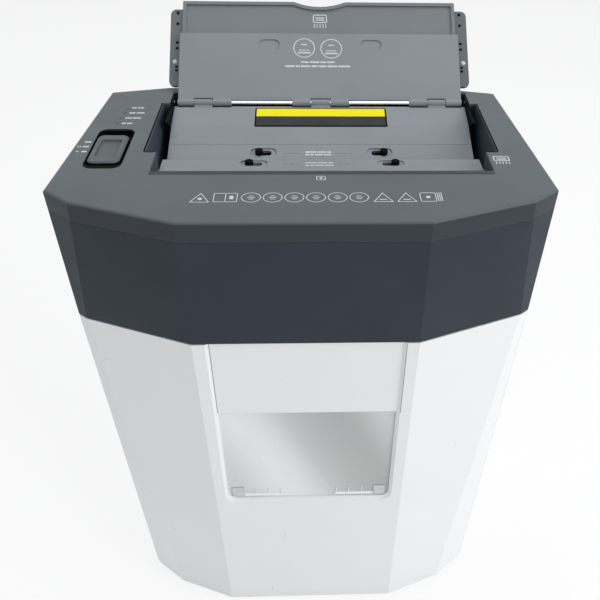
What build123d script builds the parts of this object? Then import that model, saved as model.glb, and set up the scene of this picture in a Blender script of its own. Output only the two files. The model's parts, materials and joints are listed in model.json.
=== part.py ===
"""Auto-feed cross-cut paper shredder with a pull-out bin, modelled as separate moving pieces.

Frame: millimetres, +Z up, x = 0 on the shell's plane of symmetry, y = 0 half way between the
front facet and the back, z = 0 on the floor. The front of the machine faces -Y.
"""

from build123d import *
import os
from math import acos, atan2, cos, degrees, hypot, pi, radians, sin, tan

os.makedirs("parts", exist_ok=True)

# ---------------------------------------------------------------- overall shell
HEIGHT = 455.0  # floor to the top face of the head
WIDTH = 350.0  # widest place, the side edges of the top face
DEPTH = 220.0  # front facet to back facet
HEAD_HEIGHT = 102.5  # head above the bin
COVER_HEIGHT = 15.0  # top cover above the head housing
SEAM_GAP = 0.5  # shadow gap at the neck and around the bin front
COVER_GAP = 0.3  # shadow gap under the top cover
WALL = 3.0  # outer shell thickness
EDGE_ROUND = 2.0  # rounding of the top face's rim

NECK_Z = HEIGHT - HEAD_HEIGHT
SEAM_Z = HEIGHT - COVER_HEIGHT
FRONT_Y = -DEPTH / 2
BACK_Y = DEPTH / 2

# The outline's right half has five corners: front, cheek, side, shoulder and tail. Each ring gives
# how far the first three lie inside the half width, and the rise over run of the cheek in plan.
# The other facets keep one direction at every height, so that they are flat.
HALF = WIDTH / 2
TOP_RING = (92.4, 20.0, 0.0, 0.359)
NECK_RING = (92.0, 10.6, 3.6, 0.385)
FOOT_RING = (94.0, 41.0, 12.0, 0.385)
BEVEL_SLOPE = 0.8
SIDE_TAPER = 0.0667  # run in x over rise in y
SHOULDER_SLOPE = 0.234
SHOULDER_DEPTH = 11.0

# ---------------------------------------------------------------- base and cabinet
PLINTH_BOTTOM = 1.6
PLINTH_TOP = 6.5
PLINTH_INSET = 0.5
BASE_PANEL = (170.0, 110.0, 0.6)  # stiffening panel of the underside
FOOT_PAD = (24.0, 14.0)
FOOT_X = HALF - 55.0
FOOT_Y = (FRONT_Y + 38.0, BACK_Y - 26.0)
RUNNER_HEIGHT = 6.0
RUNNER_WIDTH = 12.0
RUNNER_X = 80.0
RUNNER_FRONT = FRONT_Y + 46.0
RUNNER_BACK = 20.0
FLANGE_WIDTH = 12.0  # top flange of the cabinet, under the head
FLANGE_THICK = 3.0

# ---------------------------------------------------------------- bin
BIN_WALL = 3.2
BIN_BOTTOM = PLINTH_TOP + SEAM_GAP
BIN_TOP = NECK_Z - SEAM_GAP
BIN_SOLE = 2.4  # thickness of the bin front's bottom web
PANE = 2.0  # window thickness
PANE_GAP = 0.1  # glue line between the window and the tub
TUB_WALL = 2.0
TUB_BOTTOM = PLINTH_TOP + RUNNER_HEIGHT + 0.3
TUB_TOP = NECK_Z - 8.5
RECESS_HALF = 73.4  # U-shaped recess of the front, half width at the mouth
RECESS_DEPTH = 1.8
RECESS_BEVEL = 2.4
RECESS_CORNER = 10.5
WINDOW_HEIGHT = 109.7
WINDOW_TOP = NECK_Z - 74.7
WINDOW_BOTTOM = WINDOW_TOP - WINDOW_HEIGHT
RECESS_BOTTOM = WINDOW_BOTTOM - 3.9
WINDOW_HALF = RECESS_HALF - 2.7
WINDOW_CORNER = 8.0
PANE_LAP = 5.0  # how far the pane reaches past the opening
HOOK_X = 60.0
HOOK = (9.0, 6.0, 11.0)

# ---------------------------------------------------------------- well, lid hinge and trays
TRAY_X = 13.3  # centre of the paper path
LID_HALF = 119.5
SIDE_PLAY = 0.3  # between the lid, the ramp's cheeks and the hinge brackets
CHEEK_THICK = 2.5
CHEEK_IN = LID_HALF + SIDE_PLAY
CHEEK_OUT = CHEEK_IN + CHEEK_THICK
BRACKET_THICK = 2.2
BRACKET_FRONT = 44.0
BRACKET = (CHEEK_OUT + SIDE_PLAY, CHEEK_OUT + SIDE_PLAY + BRACKET_THICK)
TAB_HALF = LID_HALF + 9.1
WELL_FRONT = -41.8
WELL_STEP = -12.0  # the mouth widens here for the lid's side tabs
WELL_REAR_STEP = 76.0
WELL_BACK = 98.6
WELL_HALF = (CHEEK_OUT - 0.3, TAB_HALF + 1.6, BRACKET[1] + 0.2)  # manual slot, lid tabs, hinge zone
WELL_CORNER = 2.0
COVER_PLATE = 3.0
LINER_WALL = 2.0
LINER_BOTTOM = HEIGHT - 41.0
LINER_FLOOR = 2.0
LEDGE = LINER_BOTTOM + LINER_FLOOR  # ledges that carry the ramp and the brackets

HINGE_Y = 84.5
HINGE_Z = HEIGHT - 3.2
ROD_RADIUS = 1.7
RUNNING_FIT = 0.06  # radial clearance of hinges and shafts
ROD_SEAT = 0.02  # the rod is held in the brackets
KNUCKLE_RADIUS = 3.0
KNUCKLE_SIDES = 18
KNUCKLE_GAP = 0.4
LID_LEAN = 40.0  # open lid, degrees above the horizontal
OUTER_KNUCKLE = 13.3  # lid knuckle at each end of the hinge
SIDE_KNUCKLE = 14.8  # ramp knuckle beside it, then a lid knuckle
CENTRE_KNUCKLE = 16.0  # ramp knuckle in the middle, between two lid knuckles
LID_KNUCKLE = 15.6
PLATE_N = (-0.8, 1.4)  # inner plate, measured from the hinge axis towards the paper side
TRAY_N = (-3.4, -1.2)  # sliding extension
SKIN_N = (-6.0, -3.8)  # outer cover
PLATE_ROOT = 4.0
PLATE_TIP = 63.5
NOTCH_DEPTH = 5.0  # notches of the plate round the ramp's knuckles
TRAY_ROOT = 30.0
TRAY_TIP = 95.4
TRAY_HALF = LID_HALF - 1.5
TRAY_RIM = 3.0
TRAY_RECESS = 1.4
SCOOP_HALF = 22.0  # shallow finger scoop in the tip
SCOOP_DEPTH = 4.6
SCOOP_BLEND = 9.0
TAB_ROOT = 17.0
TAB_TIP = 89.0
TAB_CORNER = 5.0
OVAL = (18.0, 10.0, 4.6, 0.8)  # width, length, corner radius and depth of two dimples
OVAL_X = 43.7
OVAL_S = 52.8

RAMP_DROPS = ((81.2, 4.9), (56.0, 10.8), (44.5, 15.7), (38.3, 17.9))  # y, depth under the top
RAMP_TOP = tuple((y, HEIGHT - drop) for y, drop in RAMP_DROPS)
RAMP_THICK = 2.4
SLOPE = 20.0  # degrees, access panel 1
CHEEK_FRONT = -11.5
CHEEK_BACK = 72.0

PANEL_THICK = 2.4
PANEL_1_HALF = CHEEK_IN - 0.4
PANEL_1_REAR = -0.8  # along the slope, from the ramp's foot
PANEL_1_CHAMFER = 1.2  # on the lower rear edge, which clears the ramp
PANEL_1_FRONT = -34.0
PIN_RADIUS = 1.2
PIN_INSET = 1.6
PANEL_2_HALF = WELL_HALF[0] - 1.0
PANEL_2_Y = (-17.2, 1.7)
PANEL_2_TOP = HEIGHT - 13.0
CHEEK_SEAT = PANEL_2_TOP - PANEL_THICK - 0.3  # the strip rests just above it
ROLLER_WINDOW = 11.0  # width of the openings for the feed rollers
ROLLER_PLAY = 0.4  # room before and behind each roller
ROLLER_X = 30.0

LATCH_SLOT = (21.0, 9.0, 0.9)  # stadium recess: length, width, depth
LATCH_TRAVEL = 7.0
LATCH_KNOB = 3.2
KNOB_SIDES = 18
LATCH_NECK = 1.3
LATCH_HEIGHT = 2.4
LATCH_SHOE = (13.0, 7.0, 1.4)
LATCH_1_X = 46.5
LATCH_1_V = -9.5
LATCH_2_X = 52.0
LATCH_2_Y = -4.6

# ---------------------------------------------------------------- switch and lamps
SWITCH_X = 31.5 - HALF
SWITCH_Y = -4.8
SWITCH_WELL = (27.0, 58.0, 5.0)
SWITCH_CORNER = 6.0
SWITCH_FLOOR = 2.0
SLIDER = (23.0, 44.0, 6.2)
SLIDER_DISH = (15.5, 28.0, 1.6)
SLIDER_LIFT = 0.4
SLIDER_STEM = (7.0, 5.0)
SWITCH_TRAVEL = 4.4  # each way from the middle; the slider is drawn at the front
SLIDER_Y = SWITCH_Y - SWITCH_TRAVEL
LAMP_RADIUS = 1.2
LAMP_SIDES = 12
LAMP_PROUD = 0.4
LAMP_PITCH = (-0.9, -9.5)
LAMP_COUNT = 4
LAMPS = [(30.8 - HALF + i * LAMP_PITCH[0], 66.2 + i * LAMP_PITCH[1]) for i in range(LAMP_COUNT)]

# ---------------------------------------------------------------- cutting unit
MODULE = 2.0
CUTTER_TEETH = 16
CUTTER_Z = HEIGHT - 70.0
CUTTER_SPACING = MODULE * CUTTER_TEETH
CUTTER_REAR_Y = -6.0
CUTTER_FRONT_Y = CUTTER_REAR_Y - CUTTER_SPACING
NIP_Y = CUTTER_REAR_Y - CUTTER_SPACING / 2
DISC_RADIUS = 18.0
DISC_BITE = 4.0  # depth of the bite between two hooks
DISC_TEETH = 6
HOOK_SHARE = 0.88  # part of a tooth's pitch that its back covers
DISC_THICK = 6.8
DISC_PITCH = 16.0
DISC_COUNT = 13
DISC_CLEARANCE = 1.5
SPACER_SIDES = 6
SPACER_RADIUS = CUTTER_SPACING - DISC_RADIUS - DISC_CLEARANCE
SHAFT_RADIUS = 5.0
KEY_SIDES = 6  # gears, pulleys and rollers sit on hexagonal lengths of their shafts
CHEEK_PLATE = 3.0  # steel side plates
FRAME_HALF = LID_HALF - 8.5  # inner faces of the side plates from the paper path's centre
BUSH_RADIUS = SHAFT_RADIUS + 2.5  # across the corners; the bushes are keyed by their flats
BUSH_SIDES = 8
BUSH_OUT = 3.8  # how far a bush reaches outside its plate's inner face
BUSH_IN = 0.6
TIE_RADIUS = 4.5  # across the corners of a hexagonal tie bar
TIE_REACH = DISC_RADIUS + TIE_RADIUS + 4.0
TIE_ANGLE = radians(56.0)
TIE_DROP = CUTTER_Z - TIE_REACH * sin(TIE_ANGLE)
TIES = (
    (CUTTER_FRONT_Y - TIE_REACH * cos(TIE_ANGLE), TIE_DROP),
    (CUTTER_REAR_Y + TIE_REACH * cos(TIE_ANGLE), TIE_DROP),
    (76.0, TIE_DROP),
)
PLATE_FRONT = CUTTER_FRONT_Y - DISC_RADIUS - 6.0
PLATE_BACK = 82.0
PLATE_RISE = 19.0  # height of the plate over the cutter axes, in front
HOUSING_FLOOR = 3.0
COMB_FINGER = 5.2
COMB_PLATE = 2.0
COMB_REACH = SPACER_RADIUS + 0.8  # radius that the comb fingers keep from a cutter axis

GEAR_WIDTH = 7.0
GEAR_X = 4.0  # first gear plane, outside the right side plate
WHEEL_X = 13.0
WHEEL_WIDTH = 6.0
FINE_MODULE = 1.5
SMALL_TEETH = 12
WHEEL_TEETH = 32
PINION_TEETH = 12
PRESSURE = 20.0
BACKLASH = 0.35
MOTOR_RADIUS = 23.0
MOTOR_SIDES = 24
MOTOR_LENGTH = 58.0
MOTOR_SHAFT = 3.0
AXLE_RADIUS = 4.0

FEED_RADIUS = 10.5
FEED_PROUD = 0.35
FEED_Y = 16.3
ROLLER_SIDES = 30
FEED_SHAFT = 3.0
FEED_BUSH = FEED_SHAFT + 1.4
FEED_WIDTH = 9.0
PULLEY_X = 4.2
PULLEY_WIDTH = 4.2
FLANGE_RISE = 1.2
PULLEY_SIDES = 24
BELT_THICK = 1.2
BELT_WIDTH = 2.8
BELT_GAP = 0.25
CUTTER_PULLEY = 8.0
FEED_PULLEY = 5.5

THROAT_HALF = LID_HALF - 3.5
THROAT_END = 2.0
THROAT_BOTTOM = CUTTER_Z + PLATE_RISE
CHUTE_WALL = 1.6
CHUTE_HALF = FRAME_HALF - 3.0
CHUTE_Y = (CUTTER_FRONT_Y - DISC_RADIUS - 4.0, CUTTER_REAR_Y + DISC_RADIUS + 4.0)
CHUTE_BOTTOM = NECK_Z - 5.5


# ---------------------------------------------------------------- helpers
def ring_corners(ring):
    """Right-hand corners of one ring of the shell, from the front to the tail."""
    front, cheek, side = (HALF - inset for inset in ring[:3])
    cheek_y = FRONT_Y + (cheek - front) * ring[3]
    side_y = cheek_y + (side - cheek) * BEVEL_SLOPE
    shoulder_y = BACK_Y - SHOULDER_DEPTH
    shoulder = side - (shoulder_y - side_y) * SIDE_TAPER
    tail = shoulder - SHOULDER_DEPTH / SHOULDER_SLOPE
    return ((front, FRONT_Y), (cheek, cheek_y), (side, side_y), (shoulder, shoulder_y), (tail, BACK_Y))


def corners_at(z):
    """Ten corners of the shell at height z, counter-clockwise from the front right."""
    if z <= NECK_Z:
        lower, upper, share = FOOT_RING, NECK_RING, z / NECK_Z
    else:
        lower, upper, share = NECK_RING, TOP_RING, (z - NECK_Z) / (HEIGHT - NECK_Z)
    right = [
        (a[0] + share * (b[0] - a[0]), a[1] + share * (b[1] - a[1]))
        for a, b in zip(ring_corners(lower), ring_corners(upper))
    ]
    return right + [(-x, y) for x, y in reversed(right)]


def side_seam(offset):
    """Plane through the two side edges of the bin, moved back by offset, facing the back."""
    low, high = (min(corners_at(z), key=lambda corner: -corner[0]) for z in (0.0, NECK_Z))
    run = high[1] - low[1]
    return Plane(origin=(0, low[1] + offset, 0), z_dir=(0, NECK_Z, -run))


def inset_corners(corners, wall):
    """Polygon corners moved so that each edge shifts inwards by wall."""
    moved = []
    for before, here, after in zip(corners[-1:] + corners[:-1], corners, corners[1:] + corners[:1]):
        arrive = (Vector(*here) - Vector(*before)).normalized()
        leave = (Vector(*after) - Vector(*here)).normalized()
        inward = Vector(-arrive.Y, arrive.X)
        miter = (inward + Vector(-leave.Y, leave.X)).normalized()
        step = miter * (wall / miter.dot(inward))
        moved.append((here[0] + step.X, here[1] + step.Y))
    return moved


def shell(bottom, top, inset=0.0, mode=Mode.ADD):
    """Faceted body between two heights of the outline, inset from its faces."""
    low, high = (
        [Vector(x, y, z) for x, y in inset_corners(corners_at(z), inset)] for z in (bottom, top)
    )
    facets = []
    for i in range(len(low)):
        facets += [(low[i - 1], low[i], high[i]), (low[i - 1], high[i], high[i - 1])]
    faces = [Face(Wire.make_polygon(corners)) for corners in (low, high, *facets)]
    add(Solid(Shell(faces)), mode=mode)


def slab(x_range, outline, mode=Mode.ADD):
    """Plate across X with a (y, z) outline."""
    with BuildSketch(Plane.YZ.offset(x_range[0])) as profile:
        with BuildLine():
            Polyline(*outline, close=True)
        make_face()
    extrude(profile.sketch, amount=x_range[1] - x_range[0], mode=mode)


def bar(x_range, y, z, radius, mode=Mode.ADD):
    """Round bar along X."""
    with BuildSketch(Plane.YZ.offset(x_range[0])) as profile:
        with Locations((y, z)):
            Circle(radius)
    extrude(profile.sketch, amount=x_range[1] - x_range[0], mode=mode)


def prism(x_range, y, z, radius, sides, mode=Mode.ADD):
    """Bar along X with a regular section, radius to its corners."""
    with BuildSketch(Plane.YZ.offset(x_range[0])) as profile:
        with Locations((y, z)):
            RegularPolygon(radius, sides)
    extrude(profile.sketch, amount=x_range[1] - x_range[0], mode=mode)


def block(x_range, y_range, z_range, mode=Mode.ADD):
    """Rectangular block between three pairs of faces."""
    with BuildSketch(Plane.XY.offset(z_range[0])) as base:
        with Locations(((x_range[0] + x_range[1]) / 2, (y_range[0] + y_range[1]) / 2)):
            Rectangle(x_range[1] - x_range[0], y_range[1] - y_range[0])
    extrude(base.sketch, amount=z_range[1] - z_range[0], mode=mode)


def across(half_a, half_b=None):
    """X range about the paper path's centre."""
    low = -half_a if half_b is None else half_a
    high = half_a if half_b is None else half_b
    return (TRAY_X + low, TRAY_X + high)


def both_ends(near, far):
    """The two mirrored X ranges about the paper path's centre."""
    return (across(-far, -near), across(near, far))


def finish(builder, label):
    """Name a finished piece and write it."""
    builder.part.label = label
    export_step(builder.part, f"parts/{label}.step")


def well_mouth(z, grow):
    """T-shaped mouth of the well at height z, grown outwards."""
    slot, tabs, rear = (half + grow for half in WELL_HALF)
    right = [
        (slot, WELL_FRONT - grow),
        (slot, WELL_STEP - grow),
        (tabs, WELL_STEP - grow),
        (tabs, WELL_REAR_STEP + grow),
        (rear, WELL_REAR_STEP + grow),
        (rear, WELL_BACK + grow),
    ]
    left = [(-x, y) for x, y in reversed(right)]
    with BuildSketch(Plane.XY.offset(z)) as mouth:
        with BuildLine():
            Polyline(*[(TRAY_X + x, y) for x, y in right + left], close=True)
        make_face()
        rows = mouth.vertices().group_by(Axis.Y)
        fillet(rows[0] + rows[-1], WELL_CORNER)
    return mouth.sketch


# ---------------------------------------------------------------- base
with BuildPart() as base_plinth:
    shell(PLINTH_BOTTOM, PLINTH_TOP, inset=PLINTH_INSET)
    block(
        (-BASE_PANEL[0] / 2, BASE_PANEL[0] / 2),
        (-BASE_PANEL[1] / 2, BASE_PANEL[1] / 2),
        (PLINTH_BOTTOM - BASE_PANEL[2], PLINTH_BOTTOM),
    )
finish(base_plinth, "base_plinth")

with BuildPart() as rubber_feet:
    with BuildSketch(Plane.XY):
        with Locations(*[(x, y) for x in (-FOOT_X, FOOT_X) for y in FOOT_Y]):
            Rectangle(*FOOT_PAD)
    extrude(amount=PLINTH_BOTTOM)
finish(rubber_feet, "rubber_feet")

with BuildPart() as bin_runners:
    for x in (-RUNNER_X, RUNNER_X):
        block(
            (x - RUNNER_WIDTH / 2, x + RUNNER_WIDTH / 2),
            (RUNNER_FRONT, BACK_Y - RUNNER_BACK),
            (PLINTH_TOP, PLINTH_TOP + RUNNER_HEIGHT),
        )
finish(bin_runners, "bin_runners")

with BuildPart() as cabinet_shell:
    shell(PLINTH_TOP, NECK_Z)
    shell(PLINTH_TOP, NECK_Z - FLANGE_THICK, inset=WALL, mode=Mode.SUBTRACT)
    shell(NECK_Z - FLANGE_THICK, NECK_Z, inset=FLANGE_WIDTH, mode=Mode.SUBTRACT)
    split(bisect_by=side_seam(SEAM_GAP / 2), keep=Keep.TOP)
finish(cabinet_shell, "cabinet_shell")


# ---------------------------------------------------------------- bin
def recess_outline(y, half, bottom, top, corner):
    """Upright U on a plane facing the front."""
    with BuildSketch(Plane.XZ.offset(-y)) as outline:
        with BuildLine():
            Polyline((-half, top), (-half, bottom), (half, bottom), (half, top), close=True)
        make_face()
        fillet(outline.vertices().group_by(Axis.Y)[0], corner)
    return outline.sketch


with BuildPart() as bin_front:
    shell(BIN_BOTTOM, BIN_TOP)
    shell(BIN_BOTTOM + BIN_SOLE, BIN_TOP, inset=BIN_WALL, mode=Mode.SUBTRACT)
    split(bisect_by=side_seam(-SEAM_GAP / 2), keep=Keep.BOTTOM)
    mouth = recess_outline(FRONT_Y, RECESS_HALF, RECESS_BOTTOM, BIN_TOP, RECESS_CORNER)
    floor = recess_outline(
        FRONT_Y + RECESS_DEPTH,
        RECESS_HALF - RECESS_BEVEL,
        RECESS_BOTTOM + RECESS_BEVEL,
        BIN_TOP,
        RECESS_CORNER - RECESS_BEVEL,
    )
    loft([mouth, floor], ruled=True, mode=Mode.SUBTRACT)
    window = recess_outline(FRONT_Y, WINDOW_HALF, WINDOW_BOTTOM, WINDOW_TOP, WINDOW_CORNER)
    extrude(window, amount=-BIN_WALL, mode=Mode.SUBTRACT)
finish(bin_front, "bin_front")

PANE_FRONT = FRONT_Y + BIN_WALL
TUB_INSET = BIN_WALL + PANE + PANE_GAP

with BuildPart() as bin_window:
    pane = recess_outline(
        PANE_FRONT,
        WINDOW_HALF + PANE_LAP,
        WINDOW_BOTTOM - PANE_LAP,
        WINDOW_TOP + PANE_LAP,
        WINDOW_CORNER,
    )
    extrude(pane, amount=-PANE)
    for x in (-HOOK_X, HOOK_X):
        block(
            (x - HOOK[0] / 2, x + HOOK[0] / 2),
            (PANE_FRONT + PANE, PANE_FRONT + PANE + HOOK[1]),
            (WINDOW_BOTTOM + 0.5, WINDOW_BOTTOM + HOOK[2]),
        )
        block(
            (x - HOOK[0] / 2, x + HOOK[0] / 2),
            (PANE_FRONT + PANE + TUB_WALL + 0.4, PANE_FRONT + PANE + HOOK[1]),
            (WINDOW_BOTTOM - 4.0, WINDOW_BOTTOM + HOOK[2]),
        )
finish(bin_window, "bin_window")

with BuildPart() as bin_tub:
    shell(TUB_BOTTOM, TUB_TOP, inset=TUB_INSET)
    shell(TUB_BOTTOM + TUB_WALL, TUB_TOP, inset=TUB_INSET + TUB_WALL, mode=Mode.SUBTRACT)
    extrude(window, amount=-(TUB_INSET + TUB_WALL + 1.0), mode=Mode.SUBTRACT)
finish(bin_tub, "bin_tub")

# ---------------------------------------------------------------- head housing
HOUSING_BOTTOM = NECK_Z + SEAM_GAP
HOUSING_TOP = SEAM_Z - COVER_GAP
FLOOR_TOP = HOUSING_BOTTOM + HOUSING_FLOOR
BOSSES = [(x, y) for x in (25.0 - HALF, HALF - 25.0) for y in (FRONT_Y + 58.0, BACK_Y - 24.0)]
BOSS_SIDE = 9.0
INLET = (-85.0, HEIGHT - 75.0, 28.0, 20.0, 24.0)  # x, z, width, height, depth
VENT = (44.0, HEIGHT - 69.0, 3.0, 26.0, 7.0, 9)  # x, z, width, height, pitch, slots

with BuildPart() as head_housing:
    shell(HOUSING_BOTTOM, HOUSING_TOP)
    shell(FLOOR_TOP, HOUSING_TOP, inset=WALL, mode=Mode.SUBTRACT)
    block(across(CHUTE_HALF), CHUTE_Y, (HOUSING_BOTTOM, FLOOR_TOP), mode=Mode.SUBTRACT)
    with BuildSketch(Plane.XY.offset(FLOOR_TOP)):
        with Locations(*BOSSES):
            Rectangle(BOSS_SIDE, BOSS_SIDE)
    extrude(amount=HOUSING_TOP - FLOOR_TOP)
    with BuildSketch(Plane.XZ.offset(-BACK_Y)):
        with Locations((INLET[0], INLET[1])):
            Rectangle(INLET[2], INLET[3])
        with Locations((VENT[0], VENT[1])):
            with GridLocations(VENT[4], 0, VENT[5], 1):
                Rectangle(VENT[2], VENT[3])
    extrude(amount=WALL + 1.0, mode=Mode.SUBTRACT)
finish(head_housing, "head_housing")

with BuildPart() as top_cover:
    shell(SEAM_Z, HEIGHT)
    fillet(top_cover.faces().sort_by(Axis.Z)[-1].edges(), EDGE_ROUND)
    shell(SEAM_Z, HEIGHT - COVER_PLATE, inset=WALL, mode=Mode.SUBTRACT)
    with BuildSketch(Plane.XY.offset(SEAM_Z)):
        with Locations(*BOSSES):
            Rectangle(BOSS_SIDE, BOSS_SIDE)
    extrude(amount=HEIGHT - COVER_PLATE - SEAM_Z)
    with BuildSketch(Plane.XY.offset(HEIGHT - SWITCH_WELL[2] - SWITCH_FLOOR)):
        with Locations((SWITCH_X, SWITCH_Y)):
            Rectangle(SWITCH_WELL[0] + 4.0, SWITCH_WELL[1] + 4.0)
    extrude(amount=SWITCH_WELL[2] + SWITCH_FLOOR - COVER_PLATE)
    with BuildSketch(Plane.XY.offset(HEIGHT)):
        with Locations((SWITCH_X, SWITCH_Y)):
            RectangleRounded(SWITCH_WELL[0], SWITCH_WELL[1], SWITCH_CORNER)
    extrude(amount=-SWITCH_WELL[2], mode=Mode.SUBTRACT)
    with BuildSketch(Plane.XY.offset(HEIGHT)):
        with Locations((SWITCH_X, SWITCH_Y)):
            Rectangle(SLIDER_STEM[0] + 1.0, SLIDER_STEM[1] + 2 * SWITCH_TRAVEL + 1.0)
    extrude(amount=-(SWITCH_WELL[2] + SWITCH_FLOOR + 1.0), mode=Mode.SUBTRACT)
    extrude(well_mouth(HEIGHT, 0.0), amount=-COVER_PLATE, mode=Mode.SUBTRACT)
finish(top_cover, "top_cover")

with BuildPart() as well_liner:
    depth = HEIGHT - COVER_PLATE - LINER_BOTTOM
    extrude(well_mouth(LINER_BOTTOM, LINER_WALL), amount=depth)
    extrude(well_mouth(LINER_BOTTOM, 0.0), amount=depth, mode=Mode.SUBTRACT)
    for x_range in both_ends(CHEEK_IN, WELL_HALF[1] + 1.0):
        block(x_range, (WELL_STEP - 1.0, WELL_REAR_STEP + 1.0), (LINER_BOTTOM, LEDGE))
    for x_range in both_ends(CHEEK_IN, WELL_HALF[2] + 1.0):
        block(x_range, (WELL_REAR_STEP, WELL_BACK + 1.0), (LINER_BOTTOM, LEDGE))
    bar(
        across(WELL_HALF[0] + LINER_WALL + 1.0),
        PANEL_2_Y[0] + PIN_INSET,
        PANEL_2_TOP - PANEL_THICK / 2,
        PIN_RADIUS + RUNNING_FIT,
        mode=Mode.SUBTRACT,
    )
finish(well_liner, "well_liner")

# ---------------------------------------------------------------- ramp and hinge
def mirrored(low, high):
    """The same span on both sides of the paper path's centre."""
    return [(-high, -low), (low, high)]


SIDE_START = LID_HALF - OUTER_KNUCKLE - KNUCKLE_GAP - SIDE_KNUCKLE
PAIR_START = CENTRE_KNUCKLE / 2 + KNUCKLE_GAP
RAMP_KNUCKLES = mirrored(SIDE_START, SIDE_START + SIDE_KNUCKLE) + [(-CENTRE_KNUCKLE / 2, CENTRE_KNUCKLE / 2)]
LID_KNUCKLES = (
    mirrored(LID_HALF - OUTER_KNUCKLE, LID_HALF)
    + mirrored(SIDE_START - KNUCKLE_GAP - LID_KNUCKLE, SIDE_START - KNUCKLE_GAP)
    + mirrored(PAIR_START, PAIR_START + LID_KNUCKLE)
)
RAMP_UNDER = [(y, z - RAMP_THICK) for y, z in reversed(RAMP_TOP)]
PANEL_LINE = [
    (RAMP_TOP[-1][0] - 4.0, RAMP_TOP[-1][1] - 4.0 * tan(radians(SLOPE))),
    (4.0, RAMP_TOP[-1][1] - (RAMP_TOP[-1][0] - 4.0) * tan(radians(SLOPE))),
]
LIP = 3.0  # ledge under the rear edge of access panel 1
LIP_DROP = PANEL_THICK / cos(radians(SLOPE)) + 0.3

with BuildPart() as feed_ramp:
    slab(across(CHEEK_OUT), list(RAMP_TOP) + RAMP_UNDER)
    foot_y, foot_z = RAMP_TOP[-1]
    slab(
        across(CHEEK_IN),
        (
            (foot_y + 2.0, foot_z - 1.0),
            (foot_y + 2.0, foot_z - LIP_DROP - 1.6),
            (foot_y - LIP, foot_z - LIP_DROP - 1.6 - LIP * tan(radians(SLOPE))),
            (foot_y - LIP, foot_z - LIP_DROP - LIP * tan(radians(SLOPE))),
            (foot_y, foot_z - LIP_DROP),
        ),
    )
    rear_rise = (RAMP_TOP[0][1] - RAMP_TOP[1][1]) / (RAMP_TOP[0][0] - RAMP_TOP[1][0])
    cheek_top = RAMP_TOP[0][1] - rear_rise * (RAMP_TOP[0][0] - CHEEK_BACK)
    for x_range in both_ends(CHEEK_IN, CHEEK_OUT):
        slab(
            x_range,
            [(CHEEK_BACK, LEDGE), (CHEEK_BACK, cheek_top)]
            + list(RAMP_TOP[1:])
            + PANEL_LINE
            + [
                (3.0, CHEEK_SEAT),
                (CHEEK_FRONT, CHEEK_SEAT),
                (CHEEK_FRONT, LEDGE),
            ],
        )
    for knuckle in RAMP_KNUCKLES:
        prism(across(*knuckle), HINGE_Y, HINGE_Z, KNUCKLE_RADIUS, KNUCKLE_SIDES)
        slab(
            across(*knuckle),
            (
                (RAMP_TOP[0][0] - 1.0, RAMP_TOP[0][1] - RAMP_THICK),
                (HINGE_Y + 1.0, HINGE_Z - KNUCKLE_RADIUS),
                (HINGE_Y, HINGE_Z + 1.0),
                (RAMP_TOP[0][0] - 1.0, RAMP_TOP[0][1]),
            ),
        )
    bar(across(LID_HALF), HINGE_Y, HINGE_Z, ROD_RADIUS + RUNNING_FIT, mode=Mode.SUBTRACT)
    PIN_1 = (
        foot_y + (PANEL_1_FRONT + PIN_INSET) * cos(radians(SLOPE)) + PANEL_THICK / 2 * sin(radians(SLOPE)),
        foot_z + (PANEL_1_FRONT + PIN_INSET) * sin(radians(SLOPE)) - PANEL_THICK / 2 * cos(radians(SLOPE)),
    )
    bar(across(CHEEK_OUT + 1.0), *PIN_1, PIN_RADIUS + RUNNING_FIT, mode=Mode.SUBTRACT)
finish(feed_ramp, "feed_ramp")

with BuildPart() as hinge_rod:
    bar(across(BRACKET[1]), HINGE_Y, HINGE_Z, ROD_RADIUS)
finish(hinge_rod, "hinge_rod")

with BuildPart() as hinge_brackets:
    for x_range in both_ends(*BRACKET):
        slab(
            x_range,
            (
                (BRACKET_FRONT, HEIGHT - COVER_PLATE),
                (BRACKET_FRONT + 18.0, HEIGHT - COVER_PLATE - 14.0),
                (BRACKET_FRONT + 26.0, LEDGE),
                (WELL_BACK - 4.0, LEDGE),
                (WELL_BACK - 4.0, HEIGHT - COVER_PLATE),
                (HINGE_Y + 5.0, HINGE_Z + KNUCKLE_RADIUS),
                (HINGE_Y - 5.0, HINGE_Z + KNUCKLE_RADIUS),
                (HINGE_Y - 9.0, HEIGHT - COVER_PLATE),
            ),
        )
    bar(across(BRACKET[1]), HINGE_Y, HINGE_Z, ROD_RADIUS + ROD_SEAT, mode=Mode.SUBTRACT)
finish(hinge_brackets, "hinge_brackets")

# ---------------------------------------------------------------- lid, drawn on its own plane
LEAN = radians(LID_LEAN)
LID_PLANE = Plane(origin=(TRAY_X, HINGE_Y, HINGE_Z), x_dir=(1, 0, 0), z_dir=(0, -sin(LEAN), cos(LEAN)))


def lid_layer(levels, *outline):
    """Layer of the lid between two distances from the hinge axis."""
    with BuildSketch(LID_PLANE.offset(levels[0])) as layer:
        with BuildLine():
            Polyline(*outline, close=True)
        make_face()
    extrude(layer.sketch, amount=levels[1] - levels[0])


def rectangle(x_low, x_high, s_low, s_high):
    """Corners of a rectangle in the lid's plane."""
    return ((x_low, s_low), (x_high, s_low), (x_high, s_high), (x_low, s_high))


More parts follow.
